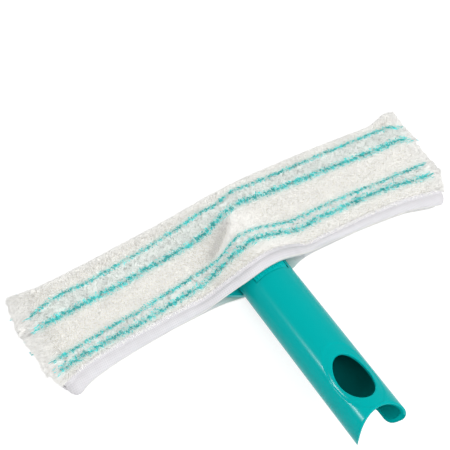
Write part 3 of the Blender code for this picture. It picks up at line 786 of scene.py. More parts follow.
def model_stitch():
    deselect()
    bpy.ops.mesh.primitive_uv_sphere_add(segments=6, ring_count=5, radius=0.5)
    stitch = bpy.context.object
    bpy.ops.object.mode_set(mode="EDIT")
    bpy.ops.mesh.quads_convert_to_tris()
    bpy.ops.object.mode_set(mode="OBJECT")
    points, faces = taken_apart(stitch)
    # Blender gives these triangles in another order each time it runs
    return points, np.array(sorted(tuple(np.roll(face, -face.argmin())) for face in faces))


def add_stitches(front):
    """Thread stitches sunk in the tape's hem, one modelled and copied along."""
    shape, faces = model_stitch()
    columns, pitch, long, thick, end_gap = 700, 2.7, 1.9, 0.3, 6.0
    x, _, point = on_panel(front, columns)
    width = tape_width(x, front)
    inner = width - HEM * np.minimum(1.0, width / 9.0)
    depth = np.array([-1.33])
    line = np.array([point(c, inner[c : c + 1], depth)[0] for c in range(columns)])
    sums = np.concatenate([[0.0], np.cumsum(np.linalg.norm(np.diff(line, axis=0), axis=1))])
    points, polygons = [], []
    for start in np.arange(end_gap, sums[-1] - end_gap, pitch):
        spots = (start, start + long)
        ends = np.array([[np.interp(t, sums, line[:, i]) for i in range(3)] for t in spots])
        run = ends[1] - ends[0]
        forward = run / np.linalg.norm(run)
        across = np.cross((0.0, 0.0, 1.0), forward)
        across /= np.linalg.norm(across)
        up = np.cross(forward, across)
        spread = shape[:, 1:2] * across * thick + shape[:, 2:] * up * thick
        polygons.append(faces + len(points) * len(shape))
        points.append(ends.mean(axis=0) + shape[:, :1] * run + spread)
    name = "front_tape_stitches" if front else "back_tape_stitches"
    thread = bpy.data.materials.get("white_thread")
    if not thread:
        thread = woven("white_thread", (0.7, 0.69, 0.725), 0.6, 0.0003, 0.5)
    obj = mesh_object(name, np.concatenate(points), np.concatenate(polygons), thread)
    enter(obj, "cover")
    return obj


def neck_gather(finish):
    """The back's cloth where it bunches up beside the neck, over the bar's web."""
    first, last, far, high, low = 17.25, 36.0, -19.5, 10.75, 4.5
    over, under = 0.45, -0.1
    across, down = np.linspace(first, last, 40), np.linspace(0.0, 1.0, 12)
    x, v = np.meshgrid(across, down, indexing="ij")
    drop = 1.4 * (1 - smooth_step((x - 24.0) / 10.0))
    near = along(BACK_LINE, x) - drop + 0.25 * ripple(x, 0 * x, 2.2, 81)
    y = near + (far - near) * v
    fall = smooth_step((x - 25.2) / 9.5)
    z = high * (1 - fall) + low * fall + 0.2 * ripple(x, v * 8, 3.0, 82)
    z = z - 1.2 * (1 - v) ** 6 * (1 - fall)
    top, bottom = (np.stack([x, y, z + h], axis=-1) for h in (over, under))
    piece = closed_shell("neck_gather", top, bottom, True, finish)
    enter(piece, "cover")
    return piece


def add_bindings():
    colour = (0.776, 0.761, 0.79)
    satin = woven("white_satin_tape", colour, 0.6, 0.0012, 0.8, 0.1, (0.86, 1.1))
    front = tape("front_binding_tape", binding_grid(True), satin)
    enter(front, "cover", "front_binding")
    sewn = [add_stitches(True)]
    # The back's tape, and the gathered cloth beside the neck, carry painted shade near the neck
    satin_painted_neck_shade = tape_with_painted_neck_shade(satin)
    back = tape("back_binding_tape", binding_grid(False), satin_painted_neck_shade)
    enter(back, "cover", "back_binding")
    sewn = [add_stitches(False), neck_gather(satin_painted_neck_shade)]


# Handle

HOLE_CENTRE = 121.6
HOLE_HALF_LENGTH = 16.0
HOLE_HALF_WIDTH = 10.25
HOLE_RIM = 0.9
TIP_RIM = 0.8
SADDLE_START = 146.0
SADDLE_RADIUS = 27.083
# The part of the skin round the hole that has its own grid
PATCH_ANGLE = math.radians(62.5)
PATCH_START = 96.0
PATCH_END = 141.5
PATCH_COLUMNS = 50
PATCH_ROWS = 60
# Steps over the skin, round the hole's rim, down its wall and out over the bore
SKIN_STEPS, RIM_STEPS, WALL_STEPS, BORE_STEPS = 18, 6, 5, 10
ROUND_STEPS = 144
ROUND = np.linspace(0.0, 2 * math.pi, ROUND_STEPS + 1) + PATCH_ANGLE
WINDOW_HALF_WIDTH = 11.76
WINDOW_START = 18.526
WINDOW_END = 36.126
UNDER_SLOT_HALF = 10.3
UNDER_SLOT_LENGTH = 26.0
# The tube is cut flat at this level, in metres, where it meets the bar's web
TUBE_FLOOR = 0.0053


def handle_place(u, s, w):
    """A point of the handle's own frame (across, along, up) in the scene's millimetres."""
    y = -s * math.cos(HANDLE_ANGLE) + w * math.sin(HANDLE_ANGLE)
    z = MID_LEVEL + s * math.sin(HANDLE_ANGLE) + w * math.cos(HANDLE_ANGLE)
    return np.stack([u, y, z], axis=-1)


def saddle_end(u):
    return SADDLE_START + SADDLE_RADIUS - np.sqrt(SADDLE_RADIUS**2 - u**2)


def dished_radius(phi, s):
    """The outer radius: dished a little round the hole, with a soft step at its border."""
    turned = (phi + math.pi) % (2 * math.pi) - math.pi
    e = np.sqrt((TUBE_RADIUS * turned / 14.4) ** 2 + ((s - HOLE_CENTRE) / 24.2) ** 2)
    border, middle = smooth_step((1.0 - e) / 0.04), smooth_step((0.97 - e) / 0.45)
    return TUBE_RADIUS - 0.38 * border - 0.55 * middle


def bore_radius(phi, s):
    return BORE_RADIUS + 0 * phi


def wrap(phi, s, radius):
    return handle_place(radius * np.sin(phi), s, radius * np.cos(phi))


def tube_bands(outer):
    """Grids of one face of the tube, all but the patch round the hole."""
    reach = dished_radius if outer else bore_radius
    rest = ROUND[: ROUND_STEPS - PATCH_COLUMNS + 1]
    rise = np.linspace(90.0, PATCH_START, 13)[1:]
    rise = np.concatenate([np.linspace(TUBE_START, 90.0, 40), rise])
    grids = []
    for phis, marks in ((ROUND, rise), (rest, np.linspace(PATCH_START, PATCH_END, PATCH_ROWS + 1))):
        phi, s = np.meshgrid(phis, marks, indexing="ij")
        grids.append(wrap(phi, s, reach(phi, s)))
    radius = TUBE_RADIUS if outer else BORE_RADIUS
    end = saddle_end(radius * np.sin(ROUND)) - TIP_RIM
    s = PATCH_END + (end[:, None] - PATCH_END) * np.linspace(0.0, 1.0, 9)[None, :]
    phi = ROUND[:, None] + 0 * s
    grids.append(wrap(phi, s, reach(phi, s)))
    return grids


def tip_rim():
    """Rounded edge from the outer face to the bore at the handle's tip."""
    outer_end = saddle_end(TUBE_RADIUS * np.sin(ROUND)) - TIP_RIM
    inner_end = saddle_end(BORE_RADIUS * np.sin(ROUND)) - TIP_RIM
    outer = dished_radius(ROUND, outer_end)
    rows = []
    for step in range(9):
        turn = math.pi * step / 8
        share = (1 - math.cos(turn)) / 2
        s = outer_end + (inner_end - outer_end) * share + TIP_RIM * math.sin(turn) ** 0.7
        rows.append(wrap(ROUND, s, outer + (BORE_RADIUS - outer) * share))
    return np.stack(rows, axis=1)


def round_a_square(columns, rows):
    """Steps round a square from -1 to 1, ending where they start."""
    out, up = np.linspace(-1, 1, columns + 1)[:-1], np.linspace(-1, 1, rows + 1)[:-1]
    back = np.linspace(1, -1, columns + 1)[:-1]
    down = np.linspace(1, -1, rows + 1)[:-1]
    a = np.concatenate([out, np.ones(rows), back, -np.ones(rows), [-1.0]])
    b = np.concatenate([-np.ones(columns), up, np.ones(columns), down, [-1.0]])
    return a, b


def hole_patch():
    """The skin round the oval hole, over its rounded rim, down its wall and out over the bore."""
    a, b = round_a_square(PATCH_COLUMNS, PATCH_ROWS)
    angle = np.arctan2(b, a)
    border_phi = PATCH_ANGLE * a
    border_s = (PATCH_START + PATCH_END) / 2 + (PATCH_END - PATCH_START) / 2 * b
    edge_u = HOLE_HALF_WIDTH * np.cos(angle)
    edge_s = HOLE_CENTRE + HOLE_HALF_LENGTH * np.sin(angle)
    out_u, out_s = HOLE_HALF_LENGTH * np.cos(angle), HOLE_HALF_WIDTH * np.sin(angle)
    size = np.hypot(out_u, out_s)
    out_u, out_s = out_u / size, out_s / size
    rows = []
    rim_phi = np.arcsin((edge_u + out_u * HOLE_RIM) / TUBE_RADIUS)
    rim_s = edge_s + out_s * HOLE_RIM
    for step in range(SKIN_STEPS + 1):
        share = (1 - step / SKIN_STEPS) ** 1.4
        phi = rim_phi + (border_phi - rim_phi) * share
        s = rim_s + (border_s - rim_s) * share
        rows.append(wrap(phi, s, dished_radius(phi, s)))
    for step in range(1, RIM_STEPS + 1):
        turn = math.pi / 2 * step / RIM_STEPS
        u = edge_u + out_u * HOLE_RIM * (1 - math.sin(turn))
        s = edge_s + out_s * HOLE_RIM * (1 - math.sin(turn))
        phi = np.arcsin(u / TUBE_RADIUS)
        radius = dished_radius(phi, s)
        height = radius * np.cos(phi) - HOLE_RIM * (1 - math.cos(turn))
        rows.append(handle_place(radius * np.sin(phi), s, height))
    wall = dished_radius(np.arcsin(edge_u / TUBE_RADIUS), edge_s)
    wall_u = wall * edge_u / TUBE_RADIUS
    top = wall * np.sqrt(1 - (edge_u / TUBE_RADIUS) ** 2) - HOLE_RIM
    floor = np.sqrt(BORE_RADIUS**2 - wall_u**2)
    for step in range(1, WALL_STEPS + 1):
        rows.append(handle_place(wall_u, edge_s, top + (floor - top) * step / WALL_STEPS))
    inner_phi = np.arcsin(wall_u / BORE_RADIUS)
    for step in range(1, BORE_STEPS + 1):
        share = (step / BORE_STEPS) ** 1.3
        phi = inner_phi + (border_phi - inner_phi) * share
        s = edge_s + (border_s - edge_s) * share
        rows.append(wrap(phi, s, bore_radius(phi, s)))
    return np.stack(rows, axis=1)


def join_grids(name, grids, finish):
    """One closed mesh of several grids whose borders meet."""
    points, faces, start = [], [], 0
    for grid in grids:
        columns, rows = grid.shape[:2]
        points.append(grid.reshape(-1, 3))
        faces.append(grid_faces(columns, rows) + start)
        start += columns * rows
    obj = mesh_object(name, np.concatenate(points), np.concatenate(faces), finish)

    def merge(shell):
        bmesh.ops.remove_doubles(shell, verts=shell.verts[:], dist=2e-6)

    open_edges = turned_out(obj.data, merge)
    if open_edges:
        raise ValueError(f"{name} has {open_edges} open edges")
    return obj


def take_out(obj, cutter):
    deselect()
    obj.select_set(True)
    bpy.context.view_layer.objects.active = obj
    step = obj.modifiers.new("cut", "BOOLEAN")
    step.operation = "DIFFERENCE"
    step.solver = "EXACT"
    step.object = cutter
    bpy.ops.object.modifier_apply(modifier="cut")
    bpy.data.objects.remove(cutter)


def cut(obj, outline, low, high, name):
    """Takes a prism out of the handle: its outline is (across, along), its ends two heights."""
    u, s = np.array(outline, float).T
    points = np.concatenate([handle_place(u, s, height + 0 * u) for height in (low, high)]) * MM
    points[:, 1] += CROSSING
    count = len(outline)
    after = [(i + 1) % count for i in range(count)]
    sides = [(i, after[i], after[i] + count, i + count) for i in range(count)]
    caps = [tuple(range(count - 1, -1, -1)), tuple(range(count, 2 * count))]
    mesh = bpy.data.meshes.new(name)
    mesh.from_pydata([tuple(p) for p in points], [], sides + caps)
    turned_out(mesh)
    cutter = bpy.data.objects.new(name, mesh)
    bpy.context.scene.collection.objects.link(cutter)
    take_out(obj, cutter)


def slot_outline():
    """The slot in the tube's underside, with its round inner end and flared mouth."""
    half, past_tip = UNDER_SLOT_HALF, TUBE_TIP + 20
    inner = TUBE_TIP - UNDER_SLOT_LENGTH + half
    turns = [math.pi * i / 24 for i in range(25)]
    outline = [(-half * math.cos(t), inner - half * math.sin(t)) for t in turns]
    side = [
        (half, 141.5), (10.45, 143.0), (10.9, 144.6), (11.6, 146.1), (12.6, 147.4),
        (13.7, 148.5), (14.8, 149.4), (15.7, 150.4), (16.4, 151.6),
    ]
    outline += side + [(17.0, 154.0), (20.0, past_tip), (-20.0, past_tip), (-17.0, 154.0)]
    return outline + [(-u, s) for u, s in reversed(side)]


def finish_faces(tube):
    """Gives the bore's faces the second finish and the cut edges the third."""
    cos, sin = math.cos(HANDLE_ANGLE), math.sin(HANDLE_ANGLE)
    for face in tube.data.polygons:
        place = face.center / MM - Vector((0.0, CROSSING / MM, MID_LEVEL))
        s = -place.y * cos + place.z * sin
        w = place.y * sin + place.z * cos
        radius = math.hypot(place.x, w)
        if radius < BORE_RADIUS + 0.05 and s > TUBE_START:
            face.material_index = 1
        elif s > 125.0 and w < 0 and radius < TUBE_RADIUS - 0.15:
            face.material_index = 2
        elif s > 140.0 and radius < TUBE_RADIUS - 1.3:
            face.material_index = 2


def add_handle(teal, bore):
    radii = (TUBE_RADIUS, BORE_RADIUS)
    start = np.stack([wrap(ROUND, TUBE_START + 0 * ROUND, r + 0 * ROUND) for r in radii], axis=1)
    grids = tube_bands(True) + tube_bands(False) + [tip_rim(), hole_patch(), start]
    tube = join_grids("teal_handle", grids, teal)
    cut(tube, slot_outline(), -40.0, 0.0, "under_slot_cut")
    side, low, high = WINDOW_HALF_WIDTH, WINDOW_START, WINDOW_END
    window = [(-side, low), (side, low), (side, high), (-side, high)]
    cut(tube, window, 0.0, 40.0, "window_cut")
    deselect()
    bpy.ops.mesh.primitive_cube_add(size=1.0, location=(0.0, 0.0, TUBE_FLOOR - 0.1))
    block = bpy.context.object
    block.scale = (0.2, 0.6, 0.2)
    bpy.ops.object.transform_apply(location=True, rotation=True, scale=True)
    take_out(tube, block)
    smooth_by_angle(tube, 35)
    tube.data.materials.append(bore)
    # A darker, matte copy of the handle's teal: painted shade on the cut edges
    cut_face_painted_shade = teal_plastic("teal_plastic_cut_painted_shade", (0.0, 0.34, 0.335), 0.6, 0.0, 0.02)
    tube.data.materials.append(cut_face_painted_shade)
    finish_faces(tube)
    enter(tube, "head", "handle_tube")


BUTTON_RIBS = 13
BUTTON_SPAN = math.radians(43.0)
BUTTON_SIDE = 11.3
RIB_LOW = 16.3
RIB_HEIGHT = 0.58
CAP_SKIN = 0.12
CAP_SIDE_LEVEL = 10.0
SKIRT_RADIUS = 13.5
# Along the handle: where each ring of the button lies, and its rise over the cap's skin. Ribs
# stand where it is 1
BUTTON_RINGS = (
    (18.9, -0.9), (18.98, -0.35), (19.3, 0.0), (20.2, 0.0), (21.0, 1.0), (33.6, 1.0),
    (34.5, 0.0), (35.35, 0.0), (35.67, -0.35), (35.75, -0.9),
)


def add_button(teal):
    """The release button's cap: rounded ribs along the handle, flat at both ends, and its skirt."""
    angles = np.linspace(-BUTTON_SPAN, BUTTON_SPAN, BUTTON_RIBS * 12 + 1)
    turn = 2 * math.pi * BUTTON_RIBS * (angles + BUTTON_SPAN) / (2 * BUTTON_SPAN)
    wave = np.clip((0.5 - 0.5 * np.cos(turn)) * 1.5, 0.0, 1.0)
    low = RIB_LOW * math.cos(BUTTON_SPAN)
    skirt = np.linspace(BUTTON_SPAN, -BUTTON_SPAN, 25)
    rings = []
    for s, rise in BUTTON_RINGS:
        top = RIB_LOW + CAP_SKIN + RIB_HEIGHT * wave * max(rise, 0.0) + min(rise, 0.0)
        under = SKIRT_RADIUS * np.sin(skirt) * 0.98
        right, left = [BUTTON_SIDE, BUTTON_SIDE], [-BUTTON_SIDE, -BUTTON_SIDE]
        u = np.concatenate([top * np.sin(angles), right, under, left])
        under = SKIRT_RADIUS * np.cos(skirt)
        sides = [low - 0.6, CAP_SIDE_LEVEL]
        w = np.concatenate([top * np.cos(angles), sides, under, sides[::-1]])
        rings.append(handle_place(u, s + 0 * u, w))
    button = tape("ribbed_button", np.array(rings), teal)
    smooth_by_angle(button, 40)
    enter(button, "button", "release_button")


# Pile


def model_strand(bend=True):
    """One pile strand, one unit tall and one wide, as points and triangles."""
    deselect()
    size = {"vertices": 3, "radius1": 0.5, "radius2": 0.27, "depth": 1.0}
    bpy.ops.mesh.primitive_cone_add(location=(0, 0, 0.5), **size)
    strand = bpy.context.object
    bpy.ops.object.mode_set(mode="EDIT")
    bpy.ops.mesh.select_all(action="DESELECT")
    bpy.ops.object.mode_set(mode="OBJECT")
    bpy.ops.object.transform_apply(location=True, rotation=True, scale=True)
    for edge in strand.data.edges:
        ends = [strand.data.vertices[i].co.z for i in edge.vertices]
        edge.select = abs(ends[0] - ends[1]) > 0.5
    bpy.ops.object.mode_set(mode="EDIT")
    if bend:
        bpy.ops.mesh.subdivide(number_cuts=1)
    bpy.ops.mesh.select_all(action="SELECT")
    bpy.ops.mesh.quads_convert_to_tris()
    bpy.ops.object.mode_set(mode="OBJECT")
    return taken_apart(strand)


def plant(name, strand, finish, roots, normals, leans, lengths, widths, shades, tints=None):
    """Copies of the modelled strand, one at each root, as one piece."""
    points, faces = strand
    count = len(roots)
    spread = unit(np.cross(normals, leans))
    forward = np.cross(spread, normals)
    reach = np.linalg.norm(leans, axis=1)
    t = points[:, 2][None, :, None]
    upright = normals[:, None, :] * (t * (1 - 0.35 * reach[:, None, None] * t))
    bent = leans[:, None, :] * t**1.6
    side = spread[:, None, :] * points[:, 0][None, :, None]
    thick = forward[:, None, :] * points[:, 1][None, :, None]
    tall, wide = lengths[:, None, None], widths[:, None, None]
    copies = roots[:, None, :] + (upright + bent) * tall + (side + thick) * wide
    every = faces[None] + (np.arange(count) * len(points))[:, None, None]
    obj = mesh_object(name, copies, every.reshape(-1, 3), finish, smooth=False)
    fields = {"rise": np.tile(points[:, 2], count), "shade": np.repeat(shades, len(points))}
    if tints is not None:
        fields["tint"] = np.repeat(tints, len(points))
    for key, values in fields.items():
        field = obj.data.attributes.new(key, "FLOAT", "POINT")
        field.data.foreach_set("value", values.astype(np.float32))
    return obj


MOST_FACES = 190000


def plant_pile(name, strand, finish, *fields):
    """Plants strands as one piece or, where they are many, as several side by side."""
    x = fields[0][:, 0]
    parts = max(1, math.ceil(len(strand[1]) * len(x) / MOST_FACES))
    edges = np.quantile(x, np.linspace(0.0, 1.0, parts + 1))
    edges[0], edges[-1] = -1e9, 1e9
    made = []
    for number in range(parts):
        chosen = (x >= edges[number]) & (x < edges[number + 1])
        label = name if parts == 1 else f"{name}_{number + 1}"
        piece = plant(label, strand, finish, *(field[chosen] for field in fields))
        enter(piece, "cover")
        made.append(piece)
    return made


def sample_rows(points, normals, pitch_x, pitch_y, seed):
    """Roots in knitted rows over a surface given as a fine grid, with a little unevenness."""
    rng = np.random.RandomState(seed)
    steps = np.linalg.norm(np.diff(points, axis=1), axis=-1)
    rows = int(steps.sum(axis=1).mean() / pitch_y)
    middle = points[:, points.shape[1] // 2]
    columns = int(np.linalg.norm(np.diff(middle, axis=0), axis=-1).sum() / pitch_x)
    u, v = np.meshgrid(np.arange(columns) + 0.5, np.arange(rows) + 0.5, indexing="ij")
    u = u + 0.5 * (v.astype(int) % 2) - 0.25
    u = (u + rng.uniform(-0.38, 0.38, u.shape)) / columns
    v = (v + rng.uniform(-0.38, 0.38, v.shape)) / rows
    u = np.clip(u, 0.0, 1.0).ravel() * (points.shape[0] - 1)
    v = np.clip(v, 0.0, 1.0).ravel()
    sums = np.concatenate([[0.0], np.cumsum(steps.mean(axis=0))])
    v = np.interp(v * sums[-1], sums, np.arange(len(sums)))
    i = np.minimum(u.astype(int), points.shape[0] - 2)
    j = np.minimum(v.astype(int), points.shape[1] - 2)
    a, b = (u - i)[:, None], (v - j)[:, None]

    def read(grid):
        low = grid[i, j] * (1 - a) + grid[i + 1, j] * a
        high = grid[i, j + 1] * (1 - a) + grid[i + 1, j + 1] * a
        return low * (1 - b) + high * b

    return read(points), unit(read(normals))


def flat_on(leans, normals):
    """Leans without their part along the normals."""
    return leans - normals * (leans * normals).sum(axis=1, keepdims=True)


def on_photo_plane(tips):
    """Where a point shows on the level of the photograph's stripe lines."""
    lift = tips[:, 2] - 14.0
    return tips[:, 0] + 0.355 * lift, tips[:, 1] + 0.23 * lift


def shaggy(tips):
    """1 between the two stripes of a pair, where the pile is longer and looser."""
    x, y = on_photo_plane(tips)
    found = np.zeros(len(tips))
    for high, low in ((FAR_STRIPE_UPPER, FAR_STRIPE_LOWER), (NEAR_STRIPE_UPPER, NEAR_STRIPE_LOWER)):
        above = along(high, x) + 1.5 - y
        below = y - along(low, x) + 1.5
        found = np.maximum(found, smooth_step(np.minimum(above, below) / 1.5))
    return found


# Each stripe's line, half its width and the pitch of its tufts
STRIPES = (
    (FAR_STRIPE_UPPER, 0.95, 2.5),
    (FAR_STRIPE_LOWER, 1.45, 2.9),
    (NEAR_STRIPE_UPPER, 0.95, 2.3),
    (NEAR_STRIPE_LOWER, 1.45, 3.1),
)
# How far out each stripe runs at the left and at the right end
STRIPE_ENDS = np.array(((144.5, 144.5, 142.5, 143.0), (139.0, 141.0, 143.0, 140.5)))
# How many of a stripe's tufts are told apart before they repeat
TUFTS = 600


def bands_of(tips, rng):
    """Which band each strand belongs to, from the far edge, 0 to 8, and each teal tuft's shade."""
    x, y = on_photo_plane(tips)
    count = len(tips)
    band = np.zeros(count, int)
    tufts = np.ones(count)
    stop = np.where(x[:, None] < 0, STRIPE_ENDS[0], STRIPE_ENDS[1])
    ends = stop + rng.uniform(-2.0, 1.0, count)[:, None]
    for index, (line, _, _) in enumerate(STRIPES):
        band = np.where(y < along(line, x), 2 * index + 2, band)
    for index, (line, half, pitch) in enumerate(STRIPES):
        off = y - along(line, x)
        wander = 0.8 * ripple(x, 5.0 * index + 0 * x, 9.0, 50 + index)
        place = (x + 0.6 * off + wander) / pitch + TUFTS / 2
        cell = np.floor(place).astype(int) % TUFTS
        inside = place - np.floor(place) - 0.5
        table = np.random.RandomState(60 + index)
        shift = table.uniform(-0.45, 0.45, TUFTS)[cell] * half
        size = table.uniform(0.46, 1.0, TUFTS)[cell] * half
        size = size * np.clip((stop[:, index] - np.abs(x)) / 7.0, 0.3, 1.0)
        gap = table.uniform(0.0, 1.0, TUFTS)[cell] < 0.2
        tone = table.uniform(0.78, 1.12, TUFTS)[cell]
        round_off = ((off - shift) / size) ** 2 + (inside / 0.47) ** 2
        teal = (round_off < 1.0 + 0.5 * ripple(x, y, 0.9, 70)) & ~gap
        loose = (np.abs(off) < 1.7 * half) & (rng.uniform(0, 1, count) < 0.16)
        keep = rng.uniform(0, 1, count) > 0.16
        chosen = ((teal & keep) | loose) & (np.abs(x) < ends[:, index])
        band = np.where(chosen, 2 * index + 1, band)
        tufts = np.where(chosen, tone * (0.84 + 0.3 * np.clip(round_off, 0.0, 1.3)), tufts)
    return band, tufts


def stained(tips, shag):
    """How much of the stripes' teal shows in the white strands near them."""
    x, y = on_photo_plane(tips)
    tints = 0.07 * shag
    for line, half, _ in STRIPES:
        near = np.exp(-(((y - along(line, x)) / (1.6 * half)) ** 2))
        tints = np.maximum(tints, 0.36 * near)
    return tints * (1 - smooth_step((np.abs(x) - 136.0) / 6.0))


# The bands from the far edge; every second one is a stripe of teal tufts
BANDS = (
    "pile_far_edge", "pile_stripe_1", "pile_far_shag", "pile_stripe_2", "pile_middle",
    "pile_stripe_3", "pile_near_shag", "pile_stripe_4", "pile_near_edge",
)
SMOOTH_BANDS = (0, 4, 8)


def front_roots():
    """Roots and normals of the front's strands, all but those under the tape."""
    fine = panel_surface(*sheet_grid(580, 120, 24), True)
    normals = normals_of(fine, True)
    ground = fine - normals * PILE_HEIGHT
    roots, normals = sample_rows(ground, normals, PILE_PITCH, PILE_PITCH * 1.05, 5)
    clear = roots[:, 1] > mouth_y(roots[:, 0], True) + along(BINDING_LINE, roots[:, 0]) - 0.3
    return roots[clear], normals[clear]


def front_pile(straight, bent):
    """The front's pile, band by band, with its four stripes of teal tufts."""
    roots, rn = front_roots()
    rng = np.random.RandomState(7)
    count = len(roots)
    x, y = roots[:, 0], roots[:, 1]
    tips = roots + rn * PILE_HEIGHT
    shag = shaggy(tips)
    brushed = smooth_step((np.abs(x) - 127.0) / 15.0)
    calm, wild = 0.34 * (1 - shag), 0.76 * shag
    leans = np.zeros((count, 3))
    leans[:, 0] = calm * ripple(x, y, 0.68, 43) + wild * ripple(x, y, 1.05, 31)
    leans[:, 0] += rng.uniform(-0.25, 0.25, count) * (1 + shag)
    leans[:, 1] = -0.35 + calm * ripple(x, y, 0.64, 44) + wild * ripple(x, y, 0.95, 32)
    leans[:, 1] += rng.uniform(-0.25, 0.25, count) * (1 + shag)
    leans[:, :2] *= (1 - 0.75 * brushed)[:, None]
    leans[:, 0] += 1.15 * np.sign(x) * brushed
    over_tape = smooth_step((mouth_y(x, True) + along(BINDING_LINE, x) + 1.6 - y) / 1.8)
    leans[:, 1] -= 0.7 * over_tape
    leans = flat_on(leans, rn)
    shades = 1.0 + 0.06 * ripple(x + 0.6 * y, y, 0.68, 33) + rng.uniform(-0.1, 0.1, count)
    shades *= 1.0 - 0.075 * shag - 0.02 * brushed + 0.1 * shag * ripple(x, y, 1.7, 39)
    off, held = from_crease(*on_photo_plane(tips))
    # Painted shade along the fold left of the neck: darker over a wider reach on its left than on
    # its right
    shades *= 1.0 - 0.16 * held * beside_crease(off, 4.5, 1.3)
    combed = held * smooth_step(off / 1.5) * (1 - smooth_step((off - 5.0) / 4.0))
    leans[:, :2] = leans[:, :2] * (1 - 0.8 * combed)[:, None]
    leans[:, 0] += 0.7 * combed
    # Painted shade: the pile greys towards the far edge, where the cloth rolls away
    shades *= 1.0 - 0.02 * smooth_step((y - far_y(x) + 12.0) / 8.0)
    lengths = 1.05 + 0.12 * ripple(x, y, 1.5, 34) + rng.uniform(-0.08, 0.08, count)
    lengths = PILE_HEIGHT * lengths
    nicks = 0.75 + 0.5 * ripple(x, y, 2.6, 40)
    lengths *= 1 + 0.35 * shag * rng.uniform(0.4, 1.0, count)
    lengths *= 1 + 0.9 * brushed * nicks * rng.uniform(0.5, 1.2, count)
    widths = rng.uniform(0.5, 0.75, count) * (1 + 0.3 * shag)
    reach = tips + (leans - 0.3 * rn) * (0.8 * lengths)[:, None]
    band, tufts = bands_of(reach, rng)
    shades = np.where(band % 2 == 1, tufts, shades)
    widths = np.where(band % 2 == 1, widths * 1.15, widths)
    fields = (roots, rn, leans, lengths, widths, shades, stained(reach, shag))
    root, tip = (0.862, 0.856, 0.832), (0.94, 0.935, 0.918)
    white = strand_material("cream_pile", root, tip, glow=0.28, stain=(0.25, 0.70, 0.66))
    teal = strand_material("teal_pile", (0.06, 0.5, 0.5), (0.135, 0.65, 0.635), glow=0.38)
    pieces = [stray_tufts(bent, teal)]
    for index, name in enumerate(BANDS):
        strand = straight if index in SMOOTH_BANDS else bent
        finish = teal if index % 2 else white
        pieces += plant_pile(name, strand, finish, *(field[band == index] for field in fields))
    return pieces, white


# Loose teal tufts at the ends: root X and Y, the way each points in plan, length and strands
STRAYS = (
    (-147.6, 20.6, -0.95, 0.2, 3.6, 5), (-145.9, 3.9, -1.0, 0.35, 3.8, 6),
    (-144.1, -4.4, -1.0, 0.1, 5.6, 8), (-145.8, -3.2, -1.0, 0.25, 4.2, 5),
    (146.0, -10.2, 1.0, -0.25, 3.6, 6), (146.4, 16.0, 0.8, -0.7, 2.6, 5),
    (-139.6, 32.0, -0.4, 1.0, 2.2, 3),
)
STRAY_LEVEL = 9.2


def stray_tufts(strand, finish):
    rng = np.random.RandomState(91)
    rows = []
    for x, y, along_x, along_y, length, count in STRAYS:
        for _ in range(count):
            jitter = rng.uniform(-0.35, 0.35, 2)
            spread = rng.uniform(-0.12, 0.12, 2)
            way = (along_x + spread[0], along_y + spread[1], 0.0)
            root = (x + jitter[0], y + jitter[1], STRAY_LEVEL)
            rows.append((root, way, length * rng.uniform(0.75, 1.0)))
    roots, leans, lengths = (np.array(part) for part in zip(*rows))
    normals = np.tile((0.0, 0.0, 0.25), (len(rows), 1))
    widths = rng.uniform(0.3, 0.5, len(rows))
    shades = rng.uniform(0.75, 1.0, len(rows))
    fields = (roots, normals, leans, lengths, widths, shades)
    piece = plant("stray_teal_tufts", strand, finish, *fields)
    enter(piece, "cover")
    return piece


def back_pile(outer, normals, strand, finish):
    """Plain pile on the back, which lies on the floor and stays above it."""
    ground = outer - normals * BACK_PILE_HEIGHT
    roots, rn = sample_rows(ground, normals, 0.95, 1.0, 15)
    clear = roots[:, 1] > mouth_y(roots[:, 0], False) + BACK_TAPE_REACH
    roots, rn = roots[clear], rn[clear]
    rng = np.random.RandomState(17)
    count = len(roots)
    x, y = roots[:, 0], roots[:, 1]
    lean_x = 0.5 * ripple(x, y, 1.6, 35) + rng.uniform(-0.25, 0.25, count)
    lean_y = 0.5 * ripple(x, y, 1.5, 36) + rng.uniform(-0.25, 0.25, count)
    leans = flat_on(np.stack([lean_x, lean_y, 0 * x], axis=-1), rn)
    lengths = 1.0 + 0.15 * ripple(x, y, 1.7, 37) + rng.uniform(-0.1, 0.1, count)
    lengths = BACK_PILE_HEIGHT * lengths
    fall = (rn[:, 2] * 0.7 + leans[:, 2]) * lengths
    room = np.maximum(roots[:, 2] - 0.5, 0.05)
    lengths *= np.where(-fall > room, room / np.maximum(-fall, 1e-6), 1.0)
    widths = rng.uniform(0.8, 1.15, count)
    shades = 0.98 + 0.04 * ripple(x, y, 1.5, 38) + rng.uniform(-0.04, 0.03, count)
    fields = (roots, rn, leans, lengths, widths, shades, np.zeros(count))
    return plant_pile("pile_back", strand, finish, *fields)


def add_cloth(name, outer, normals, pile, thickness, front, finish):
    """The ground cloth that a panel's pile stands on."""
    ground = outer - normals * pile
    cloth = closed_shell(name, ground, ground - normals * thickness, front, finish)
    enter(cloth, "cover", name.replace("cloth", "panel"))
    return cloth


def add_cover():
    cream = woven("cream_ground_cloth", (0.90, 0.89, 0.85), 0.95, 0.0009, 0.5, 0.2)
    grid = sheet_grid(240, 40, 12)
    outer = panel_surface(*grid, True)
    front = add_cloth(
        "cover_front_cloth", outer, normals_of(outer, True), PILE_HEIGHT, CLOTH_THICKNESS,
        True, cream,
    )
    outer = panel_surface(*grid, False)
    normals = normals_of(outer, False)
    back = add_cloth(
        "cover_back_cloth", outer, normals, BACK_PILE_HEIGHT, BACK_CLOTH_THICKNESS,
        False, cream,
    )
    straight, bent = model_strand(False), model_strand()
    pile, white = front_pile(straight, bent)
    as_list(pile)
    pile = back_pile(outer, normals, straight, white)
    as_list(pile)
    return bent


# Seams and gripping tapes


